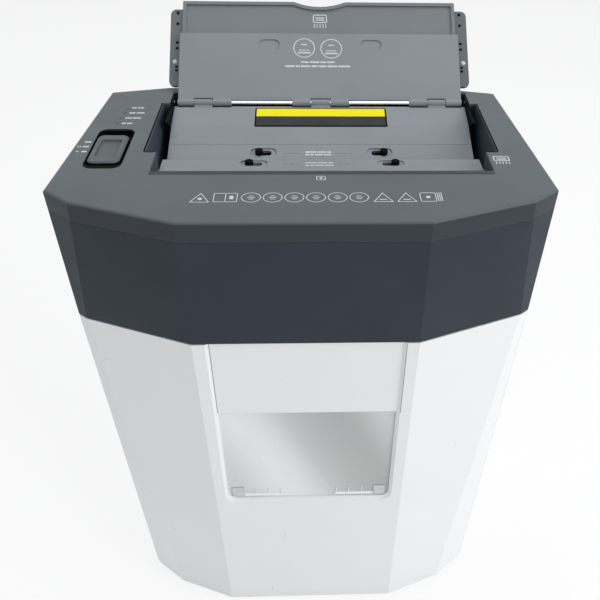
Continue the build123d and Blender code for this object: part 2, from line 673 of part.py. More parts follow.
with BuildPart() as lid_plate:
    lid_layer(PLATE_N, *rectangle(-LID_HALF, LID_HALF, PLATE_ROOT, PLATE_TIP))
    for knuckle in RAMP_KNUCKLES:
        with BuildSketch(LID_PLANE.offset(PLATE_N[0])):
            with Locations(((knuckle[0] + knuckle[1]) / 2, PLATE_ROOT)):
                Rectangle(knuckle[1] - knuckle[0] + 2 * KNUCKLE_GAP, 2 * (NOTCH_DEPTH - PLATE_ROOT))
        extrude(amount=PLATE_N[1] - PLATE_N[0], mode=Mode.SUBTRACT)
    for knuckle in LID_KNUCKLES:
        prism(across(*knuckle), HINGE_Y, HINGE_Z, KNUCKLE_RADIUS, KNUCKLE_SIDES)
        lid_layer(PLATE_N, *rectangle(*knuckle, 0.0, PLATE_ROOT + 0.5))
    for side in (-1, 1):
        rail = sorted((side * LID_HALF, side * (LID_HALF - 1.0)))
        lid_layer((SKIN_N[1], PLATE_N[0]), *rectangle(*rail, PLATE_ROOT + 1.0, PLATE_TIP))
    with BuildSketch(LID_PLANE.offset(PLATE_N[1])):
        with Locations((-OVAL_X, OVAL_S), (OVAL_X, OVAL_S)):
            RectangleRounded(*OVAL[:3])
    extrude(amount=-OVAL[3], mode=Mode.SUBTRACT)
    bar(across(LID_HALF + 1.0), HINGE_Y, HINGE_Z, ROD_RADIUS + RUNNING_FIT, mode=Mode.SUBTRACT)
finish(lid_plate, "lid_plate")

with BuildPart() as lid_cover:
    right_side = [
        (LID_HALF, PLATE_ROOT + 1.0),
        (LID_HALF, TAB_ROOT),
        (TAB_HALF, TAB_ROOT),
        (TAB_HALF, TAB_TIP),
    ]
    lid_layer(SKIN_N, *right_side, *[(-x, s) for x, s in reversed(right_side)])
    tab_corners = lid_cover.edges().filter_by(lambda edge: abs(edge.length - (SKIN_N[1] - SKIN_N[0])) < 0.01)
    fillet(tab_corners.filter_by(lambda edge: abs(edge.center().X - TRAY_X) > TAB_HALF - 1.0), TAB_CORNER)
finish(lid_cover, "lid_cover")

SCOOP_RADIUS = (SCOOP_HALF**2 + SCOOP_DEPTH**2) / (2 * SCOOP_DEPTH)
SCOOP_CENTRE = (0, TRAY_TIP + SCOOP_RADIUS - SCOOP_DEPTH)

with BuildPart() as extension_tray:
    lid_layer(TRAY_N, *rectangle(-TRAY_HALF, TRAY_HALF, TRAY_ROOT, TRAY_TIP))
    with BuildSketch(LID_PLANE.offset(TRAY_N[1])):
        with BuildLine():
            Polyline(
                *rectangle(TRAY_RIM - TRAY_HALF, TRAY_HALF - TRAY_RIM, TRAY_ROOT - 1.0, TRAY_TIP - TRAY_RIM),
                close=True,
            )
        make_face()
        with Locations(SCOOP_CENTRE):
            Circle(SCOOP_RADIUS + TRAY_RIM, mode=Mode.SUBTRACT)
    extrude(amount=-TRAY_RECESS, mode=Mode.SUBTRACT)
    with BuildSketch(LID_PLANE.offset(TRAY_N[0])):
        with Locations(SCOOP_CENTRE):
            Circle(SCOOP_RADIUS)
    extrude(amount=TRAY_N[1] - TRAY_N[0], mode=Mode.SUBTRACT)
    scoop_ends = extension_tray.edges().filter_by(
        lambda edge: abs(edge.length - (TRAY_N[1] - TRAY_N[0])) < 0.01
        and abs(abs(edge.center().X - TRAY_X) - SCOOP_HALF) < 0.01
    )
    fillet(scoop_ends, SCOOP_BLEND)
finish(extension_tray, "extension_tray")

# ---------------------------------------------------------------- access panels and latches
SLOPE_PLANE = Plane(
    origin=(TRAY_X, *RAMP_TOP[-1]),
    x_dir=(1, 0, 0),
    z_dir=(0, -sin(radians(SLOPE)), cos(radians(SLOPE))),
)
STRIP_PLANE = Plane(origin=(TRAY_X, 0, PANEL_2_TOP), x_dir=(1, 0, 0), z_dir=(0, 0, 1))
SLIDE_SLOT = (LATCH_TRAVEL + 2 * LATCH_NECK + 1.0, 2 * LATCH_NECK + 0.8)
KNOB_OUT = LATCH_TRAVEL / 2


def latch_openings(plane, x, v):
    """Stadium recesses and slide slots of two latches on a panel's face."""
    with BuildSketch(plane) as recess:
        with Locations((-x, v), (x, v)):
            SlotOverall(*LATCH_SLOT[:2])
    extrude(recess.sketch, amount=-LATCH_SLOT[2], mode=Mode.SUBTRACT)
    with BuildSketch(plane) as slot:
        with Locations((-x, v), (x, v)):
            Rectangle(*SLIDE_SLOT)
    extrude(slot.sketch, amount=-PANEL_THICK, mode=Mode.SUBTRACT)


def panel(plane, half, v_range, pin_reach):
    """Flat flap with a hinge pin along its front edge."""
    with BuildSketch(plane) as face:
        with Locations((0, (v_range[0] + v_range[1]) / 2)):
            Rectangle(2 * half, v_range[1] - v_range[0])
    extrude(face.sketch, amount=-PANEL_THICK)
    pin = plane.from_local_coords((0, v_range[0] + PIN_INSET, -PANEL_THICK / 2))
    bar((pin.X - pin_reach, pin.X + pin_reach), pin.Y, pin.Z, PIN_RADIUS)


with BuildPart() as access_panel_1:
    panel(SLOPE_PLANE, PANEL_1_HALF, (PANEL_1_FRONT, PANEL_1_REAR), CHEEK_OUT - 0.2)
    latch_openings(SLOPE_PLANE, LATCH_1_X, LATCH_1_V)
    FEED_V = -(RAMP_TOP[-1][0] - FEED_Y) / cos(radians(SLOPE))
    roller_reach = (FEED_RADIUS**2 - (FEED_RADIUS - FEED_PROUD - PANEL_THICK) ** 2) ** 0.5 + ROLLER_PLAY
    with BuildSketch(SLOPE_PLANE):
        with Locations((-ROLLER_X, FEED_V), (ROLLER_X, FEED_V)):
            Rectangle(ROLLER_WINDOW, 2 * roller_reach)
    extrude(amount=-PANEL_THICK, mode=Mode.SUBTRACT)
    chamfer(access_panel_1.edges().filter_by(Axis.X).group_by(Axis.Y)[-1], PANEL_1_CHAMFER)
finish(access_panel_1, "access_panel_1")

with BuildPart() as access_panel_2:
    panel(STRIP_PLANE, PANEL_2_HALF, PANEL_2_Y, WELL_HALF[0] + LINER_WALL - 0.3)
    fillet(access_panel_2.edges().filter_by(Axis.X).group_by(Axis.Z)[-1], 0.8)
    latch_openings(STRIP_PLANE, LATCH_2_X, LATCH_2_Y)
finish(access_panel_2, "access_panel_2")


def latch(plane, x, v, side):
    """Knob, neck and shoe of one slide latch, parked at the outer end of its slot."""
    centre = (x + side * KNOB_OUT, v)
    with BuildSketch(plane.offset(-LATCH_SLOT[2] + 0.3)) as knob:
        with Locations(centre):
            RegularPolygon(LATCH_KNOB, KNOB_SIDES)
    extrude(knob.sketch, amount=LATCH_HEIGHT)
    for level, sides, height in (
        (-PANEL_THICK - 0.6, (2 * LATCH_NECK, 2 * LATCH_NECK), PANEL_THICK + 0.6),
        (-PANEL_THICK - 0.3, LATCH_SHOE[:2], -LATCH_SHOE[2]),
    ):
        with BuildSketch(plane.offset(level)) as stem:
            with Locations(centre):
                Rectangle(*sides)
        extrude(stem.sketch, amount=height)


for name, plane, x, v in (
    ("1", SLOPE_PLANE, LATCH_1_X, LATCH_1_V),
    ("2", STRIP_PLANE, LATCH_2_X, LATCH_2_Y),
):
    for hand, side in (("left", -1), ("right", 1)):
        with BuildPart() as slide_latch:
            latch(plane, side * x, v, side)
        finish(slide_latch, f"latch_{name}_{hand}")

# ---------------------------------------------------------------- switch and lamps
SWITCH_FLOOR_TOP = HEIGHT - SWITCH_WELL[2]
with BuildPart() as power_slider:
    with BuildSketch(Plane.XY.offset(SWITCH_FLOOR_TOP + SLIDER_LIFT)):
        with Locations((SWITCH_X, SLIDER_Y)):
            RectangleRounded(SLIDER[0], SLIDER[1], SWITCH_CORNER - 1.0)
    extrude(amount=SLIDER[2])
    chamfer(power_slider.faces().sort_by(Axis.Z)[-1].edges(), 1.0)
    with BuildSketch(Plane.XY.offset(SWITCH_FLOOR_TOP + SLIDER_LIFT + SLIDER[2])):
        with Locations((SWITCH_X, SLIDER_Y)):
            RectangleRounded(SLIDER_DISH[0], SLIDER_DISH[1], 2.0)
    extrude(amount=-SLIDER_DISH[2], taper=20, mode=Mode.SUBTRACT)
    with BuildSketch(Plane.XY.offset(SWITCH_FLOOR_TOP + SLIDER_LIFT)):
        with Locations((SWITCH_X, SLIDER_Y)):
            Rectangle(*SLIDER_STEM)
    extrude(amount=-(SLIDER_LIFT + SWITCH_FLOOR + 3.0))
finish(power_slider, "power_slider")

STEM_TIP = SWITCH_FLOOR_TOP - SWITCH_FLOOR - 3.0
with BuildPart() as mode_switch:
    block(
        (SWITCH_X - 8.0, SWITCH_X + 8.0),
        (SWITCH_Y - 14.0, SWITCH_Y + 14.0),
        (STEM_TIP - 10.0, SWITCH_FLOOR_TOP - SWITCH_FLOOR),
    )
    block(
        (SWITCH_X - SLIDER_STEM[0] / 2 - 0.4, SWITCH_X + SLIDER_STEM[0] / 2 + 0.4),
        (
            SWITCH_Y - SLIDER_STEM[1] / 2 - SWITCH_TRAVEL - 0.4,
            SWITCH_Y + SLIDER_STEM[1] / 2 + SWITCH_TRAVEL + 0.4,
        ),
        (STEM_TIP - 0.4, SWITCH_FLOOR_TOP - SWITCH_FLOOR),
        mode=Mode.SUBTRACT,
    )
finish(mode_switch, "mode_switch")

with BuildPart() as status_lenses:
    with BuildSketch(Plane.XY.offset(HEIGHT)):
        with Locations(*LAMPS):
            RegularPolygon(LAMP_RADIUS, LAMP_SIDES)
    extrude(amount=LAMP_PROUD)
finish(status_lenses, "status_lenses")


# ---------------------------------------------------------------- cutting unit
def involute_half_angle(teeth, module, radius):
    """Half the angle that a tooth covers at a radius, backlash taken off, in radians."""
    pitch_radius = teeth * module / 2
    base_radius = pitch_radius * cos(radians(PRESSURE))
    reference = tan(radians(PRESSURE)) - radians(PRESSURE)
    at_radius = acos(min(1.0, base_radius / max(radius, base_radius)))
    return (
        pi / (2 * teeth)
        - BACKLASH / (2 * pitch_radius)
        + reference
        - (tan(at_radius) - at_radius)
    )


def gear(x_range, y, z, teeth, module, phase=0.0):
    """Spur gear along X; phase 0 points a tooth along +Y, 0.5 a gap."""
    pitch_radius = teeth * module / 2
    root, tip = pitch_radius - 1.25 * module, pitch_radius + 0.95 * module
    wide = involute_half_angle(teeth, module, root)
    narrow = involute_half_angle(teeth, module, tip)
    points = []
    for index in range(teeth):
        centre = 2 * pi * (index + phase) / teeth
        for radius, turn in ((root, -wide), (tip, -narrow), (tip, narrow), (root, wide)):
            points.append((y + radius * cos(centre + turn), z + radius * sin(centre + turn)))
    slab(x_range, points)


def cutter_disc(x_range, y, sense, phase):
    """Hooked cutting disc; sense gives the side that the hooks point to."""
    points = []
    for index in range(DISC_TEETH):
        start = 2 * pi * (index + phase) / DISC_TEETH
        for radius, share in ((DISC_RADIUS, 0.0), (DISC_RADIUS - DISC_BITE, HOOK_SHARE)):
            angle = sense * (start + share * 2 * pi / DISC_TEETH)
            points.append((y + radius * cos(angle), CUTTER_Z + radius * sin(angle)))
    slab(x_range, points if sense > 0 else points[::-1])


FRAME_RIGHT = TRAY_X + FRAME_HALF
FRAME_LEFT = TRAY_X - FRAME_HALF
ROLL_END = FRAME_HALF - 1.0
DISC_SPAN = DISC_PITCH * (DISC_COUNT - 1)


def cutter_roll(y, sense, shift, left_end, right_end):
    """Shaft, spacers and hooked discs of one roll."""
    prism(across(ROLL_END), y, CUTTER_Z, SPACER_RADIUS, SPACER_SIDES)
    bar((FRAME_LEFT - BUSH_OUT, FRAME_RIGHT + BUSH_OUT), y, CUTTER_Z, SHAFT_RADIUS)
    prism((left_end, right_end), y, CUTTER_Z, SHAFT_RADIUS, KEY_SIDES)
    for index in range(DISC_COUNT):
        middle = TRAY_X - DISC_SPAN / 2 + index * DISC_PITCH + shift
        cutter_disc((middle - DISC_THICK / 2, middle + DISC_THICK / 2), y, sense, index / 3)


GEAR_LOW = FRAME_RIGHT + GEAR_X
GEAR_HIGH = GEAR_LOW + GEAR_WIDTH
PULLEY_HIGH = FRAME_LEFT - PULLEY_X
PULLEY_LOW = PULLEY_HIGH - PULLEY_WIDTH

with BuildPart() as cutter_rear:
    cutter_roll(CUTTER_REAR_Y, 1, -DISC_PITCH / 4, PULLEY_LOW, GEAR_HIGH)
finish(cutter_rear, "cutter_rear")

with BuildPart() as cutter_front:
    cutter_roll(CUTTER_FRONT_Y, -1, DISC_PITCH / 4, FRAME_LEFT - CHEEK_PLATE - 1.0, GEAR_HIGH)
finish(cutter_front, "cutter_front")


def shaft_gear(label, y, phase):
    """Gear of the roll pair with a hexagonal bore for its shaft."""
    with BuildPart() as wheel:
        x_range = (GEAR_LOW, GEAR_HIGH)
        gear(x_range, y, CUTTER_Z, CUTTER_TEETH, MODULE, phase)
        prism(x_range, y, CUTTER_Z, SHAFT_RADIUS, KEY_SIDES, mode=Mode.SUBTRACT)
    finish(wheel, label)


shaft_gear("gear_rear", CUTTER_REAR_Y, 0.0)
shaft_gear("gear_front", CUTTER_FRONT_Y, 0.5)

IDLER_Y = CUTTER_REAR_Y + MODULE * (CUTTER_TEETH + SMALL_TEETH) / 2
MOTOR_Y = IDLER_Y + FINE_MODULE * (WHEEL_TEETH + PINION_TEETH) / 2
WHEEL_LOW = FRAME_RIGHT + WHEEL_X
WHEEL_HIGH = WHEEL_LOW + WHEEL_WIDTH

with BuildPart() as compound_gear:
    gear((GEAR_LOW, WHEEL_LOW), IDLER_Y, CUTTER_Z, SMALL_TEETH, MODULE, 0.5)
    gear((WHEEL_LOW, WHEEL_HIGH), IDLER_Y, CUTTER_Z, WHEEL_TEETH, FINE_MODULE, 0.0)
    bar((GEAR_LOW, WHEEL_HIGH), IDLER_Y, CUTTER_Z, AXLE_RADIUS + RUNNING_FIT, mode=Mode.SUBTRACT)
finish(compound_gear, "compound_gear")

with BuildPart() as motor_pinion:
    gear((WHEEL_LOW, WHEEL_HIGH), MOTOR_Y, CUTTER_Z, PINION_TEETH, FINE_MODULE, 0.5)
    bar((FRAME_RIGHT + 0.3, WHEEL_HIGH), MOTOR_Y, CUTTER_Z, MOTOR_SHAFT)
finish(motor_pinion, "motor_pinion")

with BuildPart() as gear_axle:
    bar((FRAME_RIGHT + CHEEK_PLATE, WHEEL_HIGH + 2.0), IDLER_Y, CUTTER_Z, AXLE_RADIUS)
    prism((FRAME_RIGHT + CHEEK_PLATE, GEAR_LOW - 0.4), IDLER_Y, CUTTER_Z, AXLE_RADIUS + 2.5, 6)
finish(gear_axle, "gear_axle")

with BuildPart() as motor_can:
    prism((FRAME_RIGHT - MOTOR_LENGTH, FRAME_RIGHT), MOTOR_Y, CUTTER_Z, MOTOR_RADIUS, MOTOR_SIDES)
    chamfer(motor_can.faces().sort_by(Axis.X)[0].edges(), 2.5)
finish(motor_can, "motor_can")

# ---------------------------------------------------------------- frame of the cutting unit
FEED_AXIS = (
    FEED_Y + (FEED_RADIUS - FEED_PROUD) * sin(radians(SLOPE)),
    RAMP_TOP[-1][1]
    - (RAMP_TOP[-1][0] - FEED_Y) * tan(radians(SLOPE))
    - (FEED_RADIUS - FEED_PROUD) * cos(radians(SLOPE)),
)
BUSH_SPANS = (
    (FRAME_LEFT - BUSH_OUT, FRAME_LEFT + BUSH_IN),
    (FRAME_RIGHT - BUSH_IN, FRAME_RIGHT + BUSH_OUT),
)
BEARINGS = (
    (CUTTER_FRONT_Y, CUTTER_Z, BUSH_RADIUS),
    (CUTTER_REAR_Y, CUTTER_Z, BUSH_RADIUS),
    (*FEED_AXIS, FEED_BUSH),
)


def side_plate(x_range, label, motor_hole):
    """Steel cheek with seats for the bushes and tie rods."""
    plate_top = CUTTER_Z + PLATE_RISE
    outline = (
        (PLATE_FRONT, FLOOR_TOP),
        (PLATE_BACK, FLOOR_TOP),
        (PLATE_BACK, plate_top + 7.0),
        (FEED_AXIS[0] + 4.2, FEED_AXIS[1] + 7.5),
        (FEED_AXIS[0] - 8.0, FEED_AXIS[1] + 3.1),
        (CUTTER_REAR_Y + 15.0, plate_top),
        (PLATE_FRONT, plate_top),
    )
    with BuildPart() as plate:
        slab(x_range, outline)
        for y, z, radius in BEARINGS:
            prism(x_range, y, z, radius, BUSH_SIDES, mode=Mode.SUBTRACT)
        if motor_hole:
            prism(x_range, MOTOR_Y, CUTTER_Z, MOTOR_SHAFT + 1.5, BUSH_SIDES, mode=Mode.SUBTRACT)
    finish(plate, label)


side_plate((FRAME_RIGHT, FRAME_RIGHT + CHEEK_PLATE), "side_plate_right", True)
side_plate((FRAME_LEFT - CHEEK_PLATE, FRAME_LEFT), "side_plate_left", False)

with BuildPart() as tie_rods:
    for y, z in TIES:
        prism((FRAME_LEFT, FRAME_RIGHT), y, z, TIE_RADIUS, 6)
finish(tie_rods, "tie_rods")

with BuildPart() as shaft_bushes:
    for x_range in BUSH_SPANS:
        for y, z, radius in BEARINGS:
            prism(x_range, y, z, radius, BUSH_SIDES)
            bar(
                x_range,
                y,
                z,
                (SHAFT_RADIUS if radius == BUSH_RADIUS else FEED_SHAFT) + RUNNING_FIT,
                mode=Mode.SUBTRACT,
            )
finish(shaft_bushes, "shaft_bushes")


def comb(label, y, side, shift):
    """Stripper comb: a bar outside a roll with one finger in each gap between its discs."""
    spine = y + side * (DISC_RADIUS + 1.2)
    with BuildPart() as stripper:
        block(
            across(FRAME_HALF),
            sorted((spine, spine + side * COMB_PLATE)),
            (CUTTER_Z - 9.0, CUTTER_Z + 9.0),
        )
        for index in range(DISC_COUNT - 1):
            middle = TRAY_X - DISC_SPAN / 2 + (index + 0.5) * DISC_PITCH + shift
            block(
                (middle - COMB_FINGER / 2, middle + COMB_FINGER / 2),
                sorted((y + side * COMB_REACH, spine + side * 0.5)),
                (CUTTER_Z - 7.0, CUTTER_Z + 7.0),
            )
    finish(stripper, label)


comb("comb_rear", CUTTER_REAR_Y, 1, -DISC_PITCH / 4)
comb("comb_front", CUTTER_FRONT_Y, -1, DISC_PITCH / 4)

GUIDE_TOP = HEIGHT - 9.0  # front guide, up to the manual slot's edge
GUIDE_LIP = HEIGHT - 34.0  # rear guide, under the feed rollers
GUIDE_WALL = 2.5
MOUTH_FRONT = NIP_Y - 4.0
MOUTH_BACK = NIP_Y + 3.0
with BuildPart() as throat_guide:
    slab(
        across(THROAT_HALF),
        (
            (WELL_FRONT, GUIDE_TOP),
            (WELL_FRONT, GUIDE_TOP - 6.0),
            (MOUTH_FRONT - GUIDE_WALL, THROAT_BOTTOM),
            (MOUTH_FRONT, THROAT_BOTTOM),
            (MOUTH_FRONT, THROAT_BOTTOM + 5.0),
            (WELL_FRONT + GUIDE_WALL, GUIDE_TOP),
        ),
    )
    slab(
        across(THROAT_HALF),
        (
            (MOUTH_BACK, THROAT_BOTTOM),
            (MOUTH_BACK + 3.0, THROAT_BOTTOM),
            (4.0, GUIDE_LIP - 3.0),
            (4.0, GUIDE_LIP),
            (2.0, GUIDE_LIP),
        ),
    )
    for x_range in both_ends(THROAT_HALF - THROAT_END, THROAT_HALF):
        slab(
            x_range,
            (
                (WELL_FRONT, GUIDE_TOP - 6.0),
                (MOUTH_FRONT - GUIDE_WALL, THROAT_BOTTOM),
                (MOUTH_BACK + 3.0, THROAT_BOTTOM),
                (4.0, GUIDE_LIP - 3.0),
                (4.0, GUIDE_LIP),
                (-4.0, GUIDE_LIP + 11.0),
                (-20.0, GUIDE_LIP + 15.0),
                (WELL_FRONT, GUIDE_TOP),
            ),
        )
finish(throat_guide, "throat_guide")

with BuildPart() as shred_chute:
    block(across(CHUTE_HALF - 0.3), (CHUTE_Y[0] + 0.3, CHUTE_Y[1] - 0.3), (CHUTE_BOTTOM, FLOOR_TOP + 2.0))
    block(across(CHUTE_HALF + 2.0), (CHUTE_Y[0] - 1.4, CHUTE_Y[1] + 1.4), (FLOOR_TOP, FLOOR_TOP + 2.0))
    block(
        across(CHUTE_HALF - 0.3 - CHUTE_WALL),
        (CHUTE_Y[0] + 0.3 + CHUTE_WALL, CHUTE_Y[1] - 0.3 - CHUTE_WALL),
        (CHUTE_BOTTOM, FLOOR_TOP + 2.0),
        mode=Mode.SUBTRACT,
    )
finish(shred_chute, "shred_chute")

# ---------------------------------------------------------------- paper feed
with BuildPart() as feed_shaft:
    for end in BUSH_SPANS:
        bar(end, *FEED_AXIS, FEED_SHAFT)
    prism((PULLEY_LOW, FRAME_RIGHT), *FEED_AXIS, FEED_SHAFT, KEY_SIDES)
finish(feed_shaft, "feed_shaft")

with BuildPart() as feed_rollers:
    for x in (-ROLLER_X, ROLLER_X):
        roller = across(x - FEED_WIDTH / 2, x + FEED_WIDTH / 2)
        prism(roller, *FEED_AXIS, FEED_RADIUS, ROLLER_SIDES)
        prism(roller, *FEED_AXIS, FEED_SHAFT, KEY_SIDES, mode=Mode.SUBTRACT)
finish(feed_rollers, "feed_rollers")


def pulley(label, axis, radius, bore):
    """Belt pulley with a flange at its outer end."""
    with BuildPart() as wheel:
        prism((PULLEY_LOW, PULLEY_HIGH), *axis, radius, PULLEY_SIDES)
        prism((PULLEY_LOW, PULLEY_LOW + 0.5), *axis, radius + FLANGE_RISE, PULLEY_SIDES)
        prism((PULLEY_LOW, PULLEY_HIGH), *axis, bore, KEY_SIDES, mode=Mode.SUBTRACT)
    finish(wheel, label)


pulley("cutter_pulley", (CUTTER_REAR_Y, CUTTER_Z), CUTTER_PULLEY, SHAFT_RADIUS)
pulley("feed_pulley", FEED_AXIS, FEED_PULLEY, FEED_SHAFT)


def belt_loop(growth, mode=Mode.ADD):
    """Hull of the two pulleys, grown by a clearance or the belt."""
    span = (FEED_AXIS[0] - CUTTER_REAR_Y, FEED_AXIS[1] - CUTTER_Z)
    near, far = CUTTER_PULLEY + growth, FEED_PULLEY + growth
    tilt = acos((near - far) / hypot(*span))
    along = atan2(span[1], span[0])
    middle = (PULLEY_LOW + PULLEY_HIGH) / 2
    ends = []
    for centre, radius in (((CUTTER_REAR_Y, CUTTER_Z), near), (FEED_AXIS, far)):
        for turn in (tilt, -tilt):
            ends.append((centre[0] + radius * cos(along + turn), centre[1] + radius * sin(along + turn)))
    back = (CUTTER_REAR_Y - near * cos(along), CUTTER_Z - near * sin(along))
    ahead = (FEED_AXIS[0] + far * cos(along), FEED_AXIS[1] + far * sin(along))
    with BuildSketch(Plane.YZ.offset(middle - BELT_WIDTH / 2)) as loop:
        with BuildLine():
            ThreePointArc(ends[0], back, ends[1])
            Line(ends[1], ends[3])
            ThreePointArc(ends[3], ahead, ends[2])
            Line(ends[2], ends[0])
        make_face()
    extrude(loop.sketch, amount=BELT_WIDTH, mode=mode)


with BuildPart() as drive_belt:
    belt_loop(BELT_GAP + BELT_THICK)
    belt_loop(BELT_GAP, mode=Mode.SUBTRACT)
finish(drive_belt, "drive_belt")

# ---------------------------------------------------------------- electrics
BOARD_X = (15.0 - HALF, 67.0 - HALF)
BOARD_Y = (-44.0, 56.0)
BOARD_Z = FLOOR_TOP + 8.0
BOARD_THICK = 1.6
BOARD_BLOCKS = (  # transformer, relay and connector: x on the board, y, width, depth, height
    (8.0, 12.0, 24.0, 28.0, 24.0),
    (34.0, -30.0, 12.0, 18.0, 15.0),
    (10.0, -38.0, 16.0, 8.0, 12.0),
)
CAPACITOR = (8.0, 20.0)  # radius, height
POST = 3.0

with BuildPart() as board_posts:
    for x in (BOARD_X[0] + 6.0, BOARD_X[1] - 6.0):
        for y in (BOARD_Y[0] + 6.0, BOARD_Y[1] - 6.0):
            block((x - POST, x + POST), (y - POST, y + POST), (FLOOR_TOP, BOARD_Z))
finish(board_posts, "board_posts")

with BuildPart() as circuit_board:
    block(BOARD_X, BOARD_Y, (BOARD_Z, BOARD_Z + BOARD_THICK))
finish(circuit_board, "circuit_board")

with BuildPart() as board_parts:
    top = BOARD_Z + BOARD_THICK
    for x, y, width, depth, height in BOARD_BLOCKS:
        block((BOARD_X[0] + x, BOARD_X[0] + x + width), (y, y + depth), (top, top + height))
    with BuildSketch(Plane.XY.offset(top)):
        with Locations((BOARD_X[0] + 22.0, -10.0)):
            Circle(CAPACITOR[0])
    extrude(amount=CAPACITOR[1])
finish(board_parts, "board_parts")

INLET_FLANGE = (3.0, 1.5)  # border and thickness
SOCKET = (22.0, 14.0, 16.0)  # width, height, depth
PIN = (2.0, 4.0, 6.0)  # width, height, pitch
with BuildPart() as power_inlet:
    inlet_x, inlet_z, inlet_w, inlet_h, inlet_d = INLET
    body = (inlet_w / 2 - 0.2, inlet_h / 2 - 0.2)
    flange = (inlet_w / 2 + INLET_FLANGE[0], inlet_h / 2 + INLET_FLANGE[0])
    outer_y = BACK_Y + INLET_FLANGE[1]
    for (half_w, half_h), y_range, mode in (
        (body, (BACK_Y - inlet_d, BACK_Y), Mode.ADD),
        (flange, (BACK_Y, outer_y), Mode.ADD),
        ((SOCKET[0] / 2, SOCKET[1] / 2), (BACK_Y - SOCKET[2], outer_y), Mode.SUBTRACT),
    ):
        block((inlet_x - half_w, inlet_x + half_w), y_range, (inlet_z - half_h, inlet_z + half_h), mode)
    for x in (inlet_x - PIN[2], inlet_x, inlet_x + PIN[2]):
        block(
            (x - PIN[0] / 2, x + PIN[0] / 2),
            (BACK_Y - SOCKET[2] - 1.0, BACK_Y - 3.0),
            (inlet_z - PIN[1] / 2, inlet_z + PIN[1] / 2),
        )
finish(power_inlet, "power_inlet")

INTERLOCK_X = 75.0 - HALF
INTERLOCK_Y = FRONT_Y + 32.0
with BuildPart() as bin_interlock:
    block(
        (INTERLOCK_X - 10.0, INTERLOCK_X + 10.0),
        (INTERLOCK_Y - 4.0, INTERLOCK_Y + 4.0),
        (FLOOR_TOP, FLOOR_TOP + 16.0),
    )
finish(bin_interlock, "bin_interlock")

# ---------------------------------------------------------------- two-tone band on the ramp
BAND_HALF = 53.5
BAND_THICK = 0.3
RAMP_TILT = atan2(RAMP_TOP[0][1] - RAMP_TOP[1][1], RAMP_TOP[0][0] - RAMP_TOP[1][0])
BAND_PLANE = Plane(
    origin=(TRAY_X, *RAMP_TOP[1]),
    x_dir=(1, 0, 0),
    z_dir=(0, -sin(RAMP_TILT), cos(RAMP_TILT)),
)
for label, low, high in (("band_dark", 0.3, 12.3), ("band_yellow", 12.3, 22.4)):
    with BuildPart() as band:
        with BuildSketch(BAND_PLANE):
            with Locations((0, (low + high) / 2)):
                Rectangle(2 * BAND_HALF, high - low)
        extrude(amount=BAND_THICK)
    finish(band, label)
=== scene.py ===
import json
import math

import bmesh
import bpy
from mathutils import Matrix, Vector


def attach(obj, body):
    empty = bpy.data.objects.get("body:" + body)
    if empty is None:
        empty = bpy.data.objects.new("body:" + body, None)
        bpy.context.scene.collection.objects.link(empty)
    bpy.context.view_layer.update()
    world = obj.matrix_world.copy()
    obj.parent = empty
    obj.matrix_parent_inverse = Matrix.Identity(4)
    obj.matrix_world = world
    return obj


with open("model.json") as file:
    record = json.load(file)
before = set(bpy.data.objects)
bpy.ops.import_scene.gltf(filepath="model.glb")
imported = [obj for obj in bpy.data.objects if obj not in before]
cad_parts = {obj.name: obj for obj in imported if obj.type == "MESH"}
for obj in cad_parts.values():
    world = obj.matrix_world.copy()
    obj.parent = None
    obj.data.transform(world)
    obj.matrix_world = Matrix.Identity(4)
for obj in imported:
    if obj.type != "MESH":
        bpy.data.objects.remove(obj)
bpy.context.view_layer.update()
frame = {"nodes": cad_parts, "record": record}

NODES = frame["nodes"]
MM = 0.001

# Places of the CAD, in millimetres.
HEIGHT = 455.0
FRONT_Y = -110.0
BACK_Y = 110.0
TRAY_X = 13.3
HINGE = (TRAY_X, 84.5, 451.8)
SLOPE_REAR = (TRAY_X, 38.3, HEIGHT - 17.9)  # rear edge of access panel 1
STRIP_TOP = HEIGHT - 13.0  # top of access panel 2
RAMP_FRONT = (TRAY_X, 56.0, HEIGHT - 10.8)  # front edge of the ramp's rear facet
PANE_FACE = -106.8
WINDOW_BOTTOM = 168.1
WINDOW_TOP = 277.8

# Lean of the sloping planes.
LID_LEAN = math.radians(40.0)
SLOPE_LEAN = math.radians(20.0)
RAMP_LEAN = math.radians(13.177)

# Faces of the open lid, measured square to it from the hinge's axis, in millimetres.
PLATE_FACE = 1.4
TRAY_FACE = -2.6
TAB_FACE = -3.8


# ---------------------------------------------------------------- camera, light and floor
LENS = 42.48
SENSOR_WIDTH = 36.0
CAMERA_SHIFT = (-0.0663, 0.0321)
CAMERA_CLIP = (0.01, 20.0)
CAMERA_PLACE = (0.00468, -0.49368, 0.69412)
CAMERA_TURN = (50.299, -1.007, -2.035)  # degrees about X, Y and Z

WHITE = (1.0, 1.0, 1.0, 1.0)
WORLD_TINT = (0.96, 0.98, 1.0, 1.0)
WORLD_STRENGTH = 0.47
FLOOR_HALF = 6.0
FLOOR_COLOUR = (0.98, 0.98, 0.98, 1.0)
FLOOR_WHITE_SHARE = 0.78  # the rest of the floor's tone is lit, and takes the object's shadow

# Name, place, target, size, power and colour.
LAMPS = (
    ("key", (1.6, -1.0, 1.3), (0.0, 0.0, 0.25), (1.6, 1.2), 23.0, (1.0, 0.99, 0.98)),
    ("overhead", (-0.1, 0.5, 2.0), (0.0, 0.0, 0.4), (1.8, 1.4), 13.0, (1.0, 1.0, 1.0)),
)


def node(tree, kind, **values):
    made = tree.nodes.new(kind)
    for key, value in values.items():
        setattr(made, key, value)
    return made


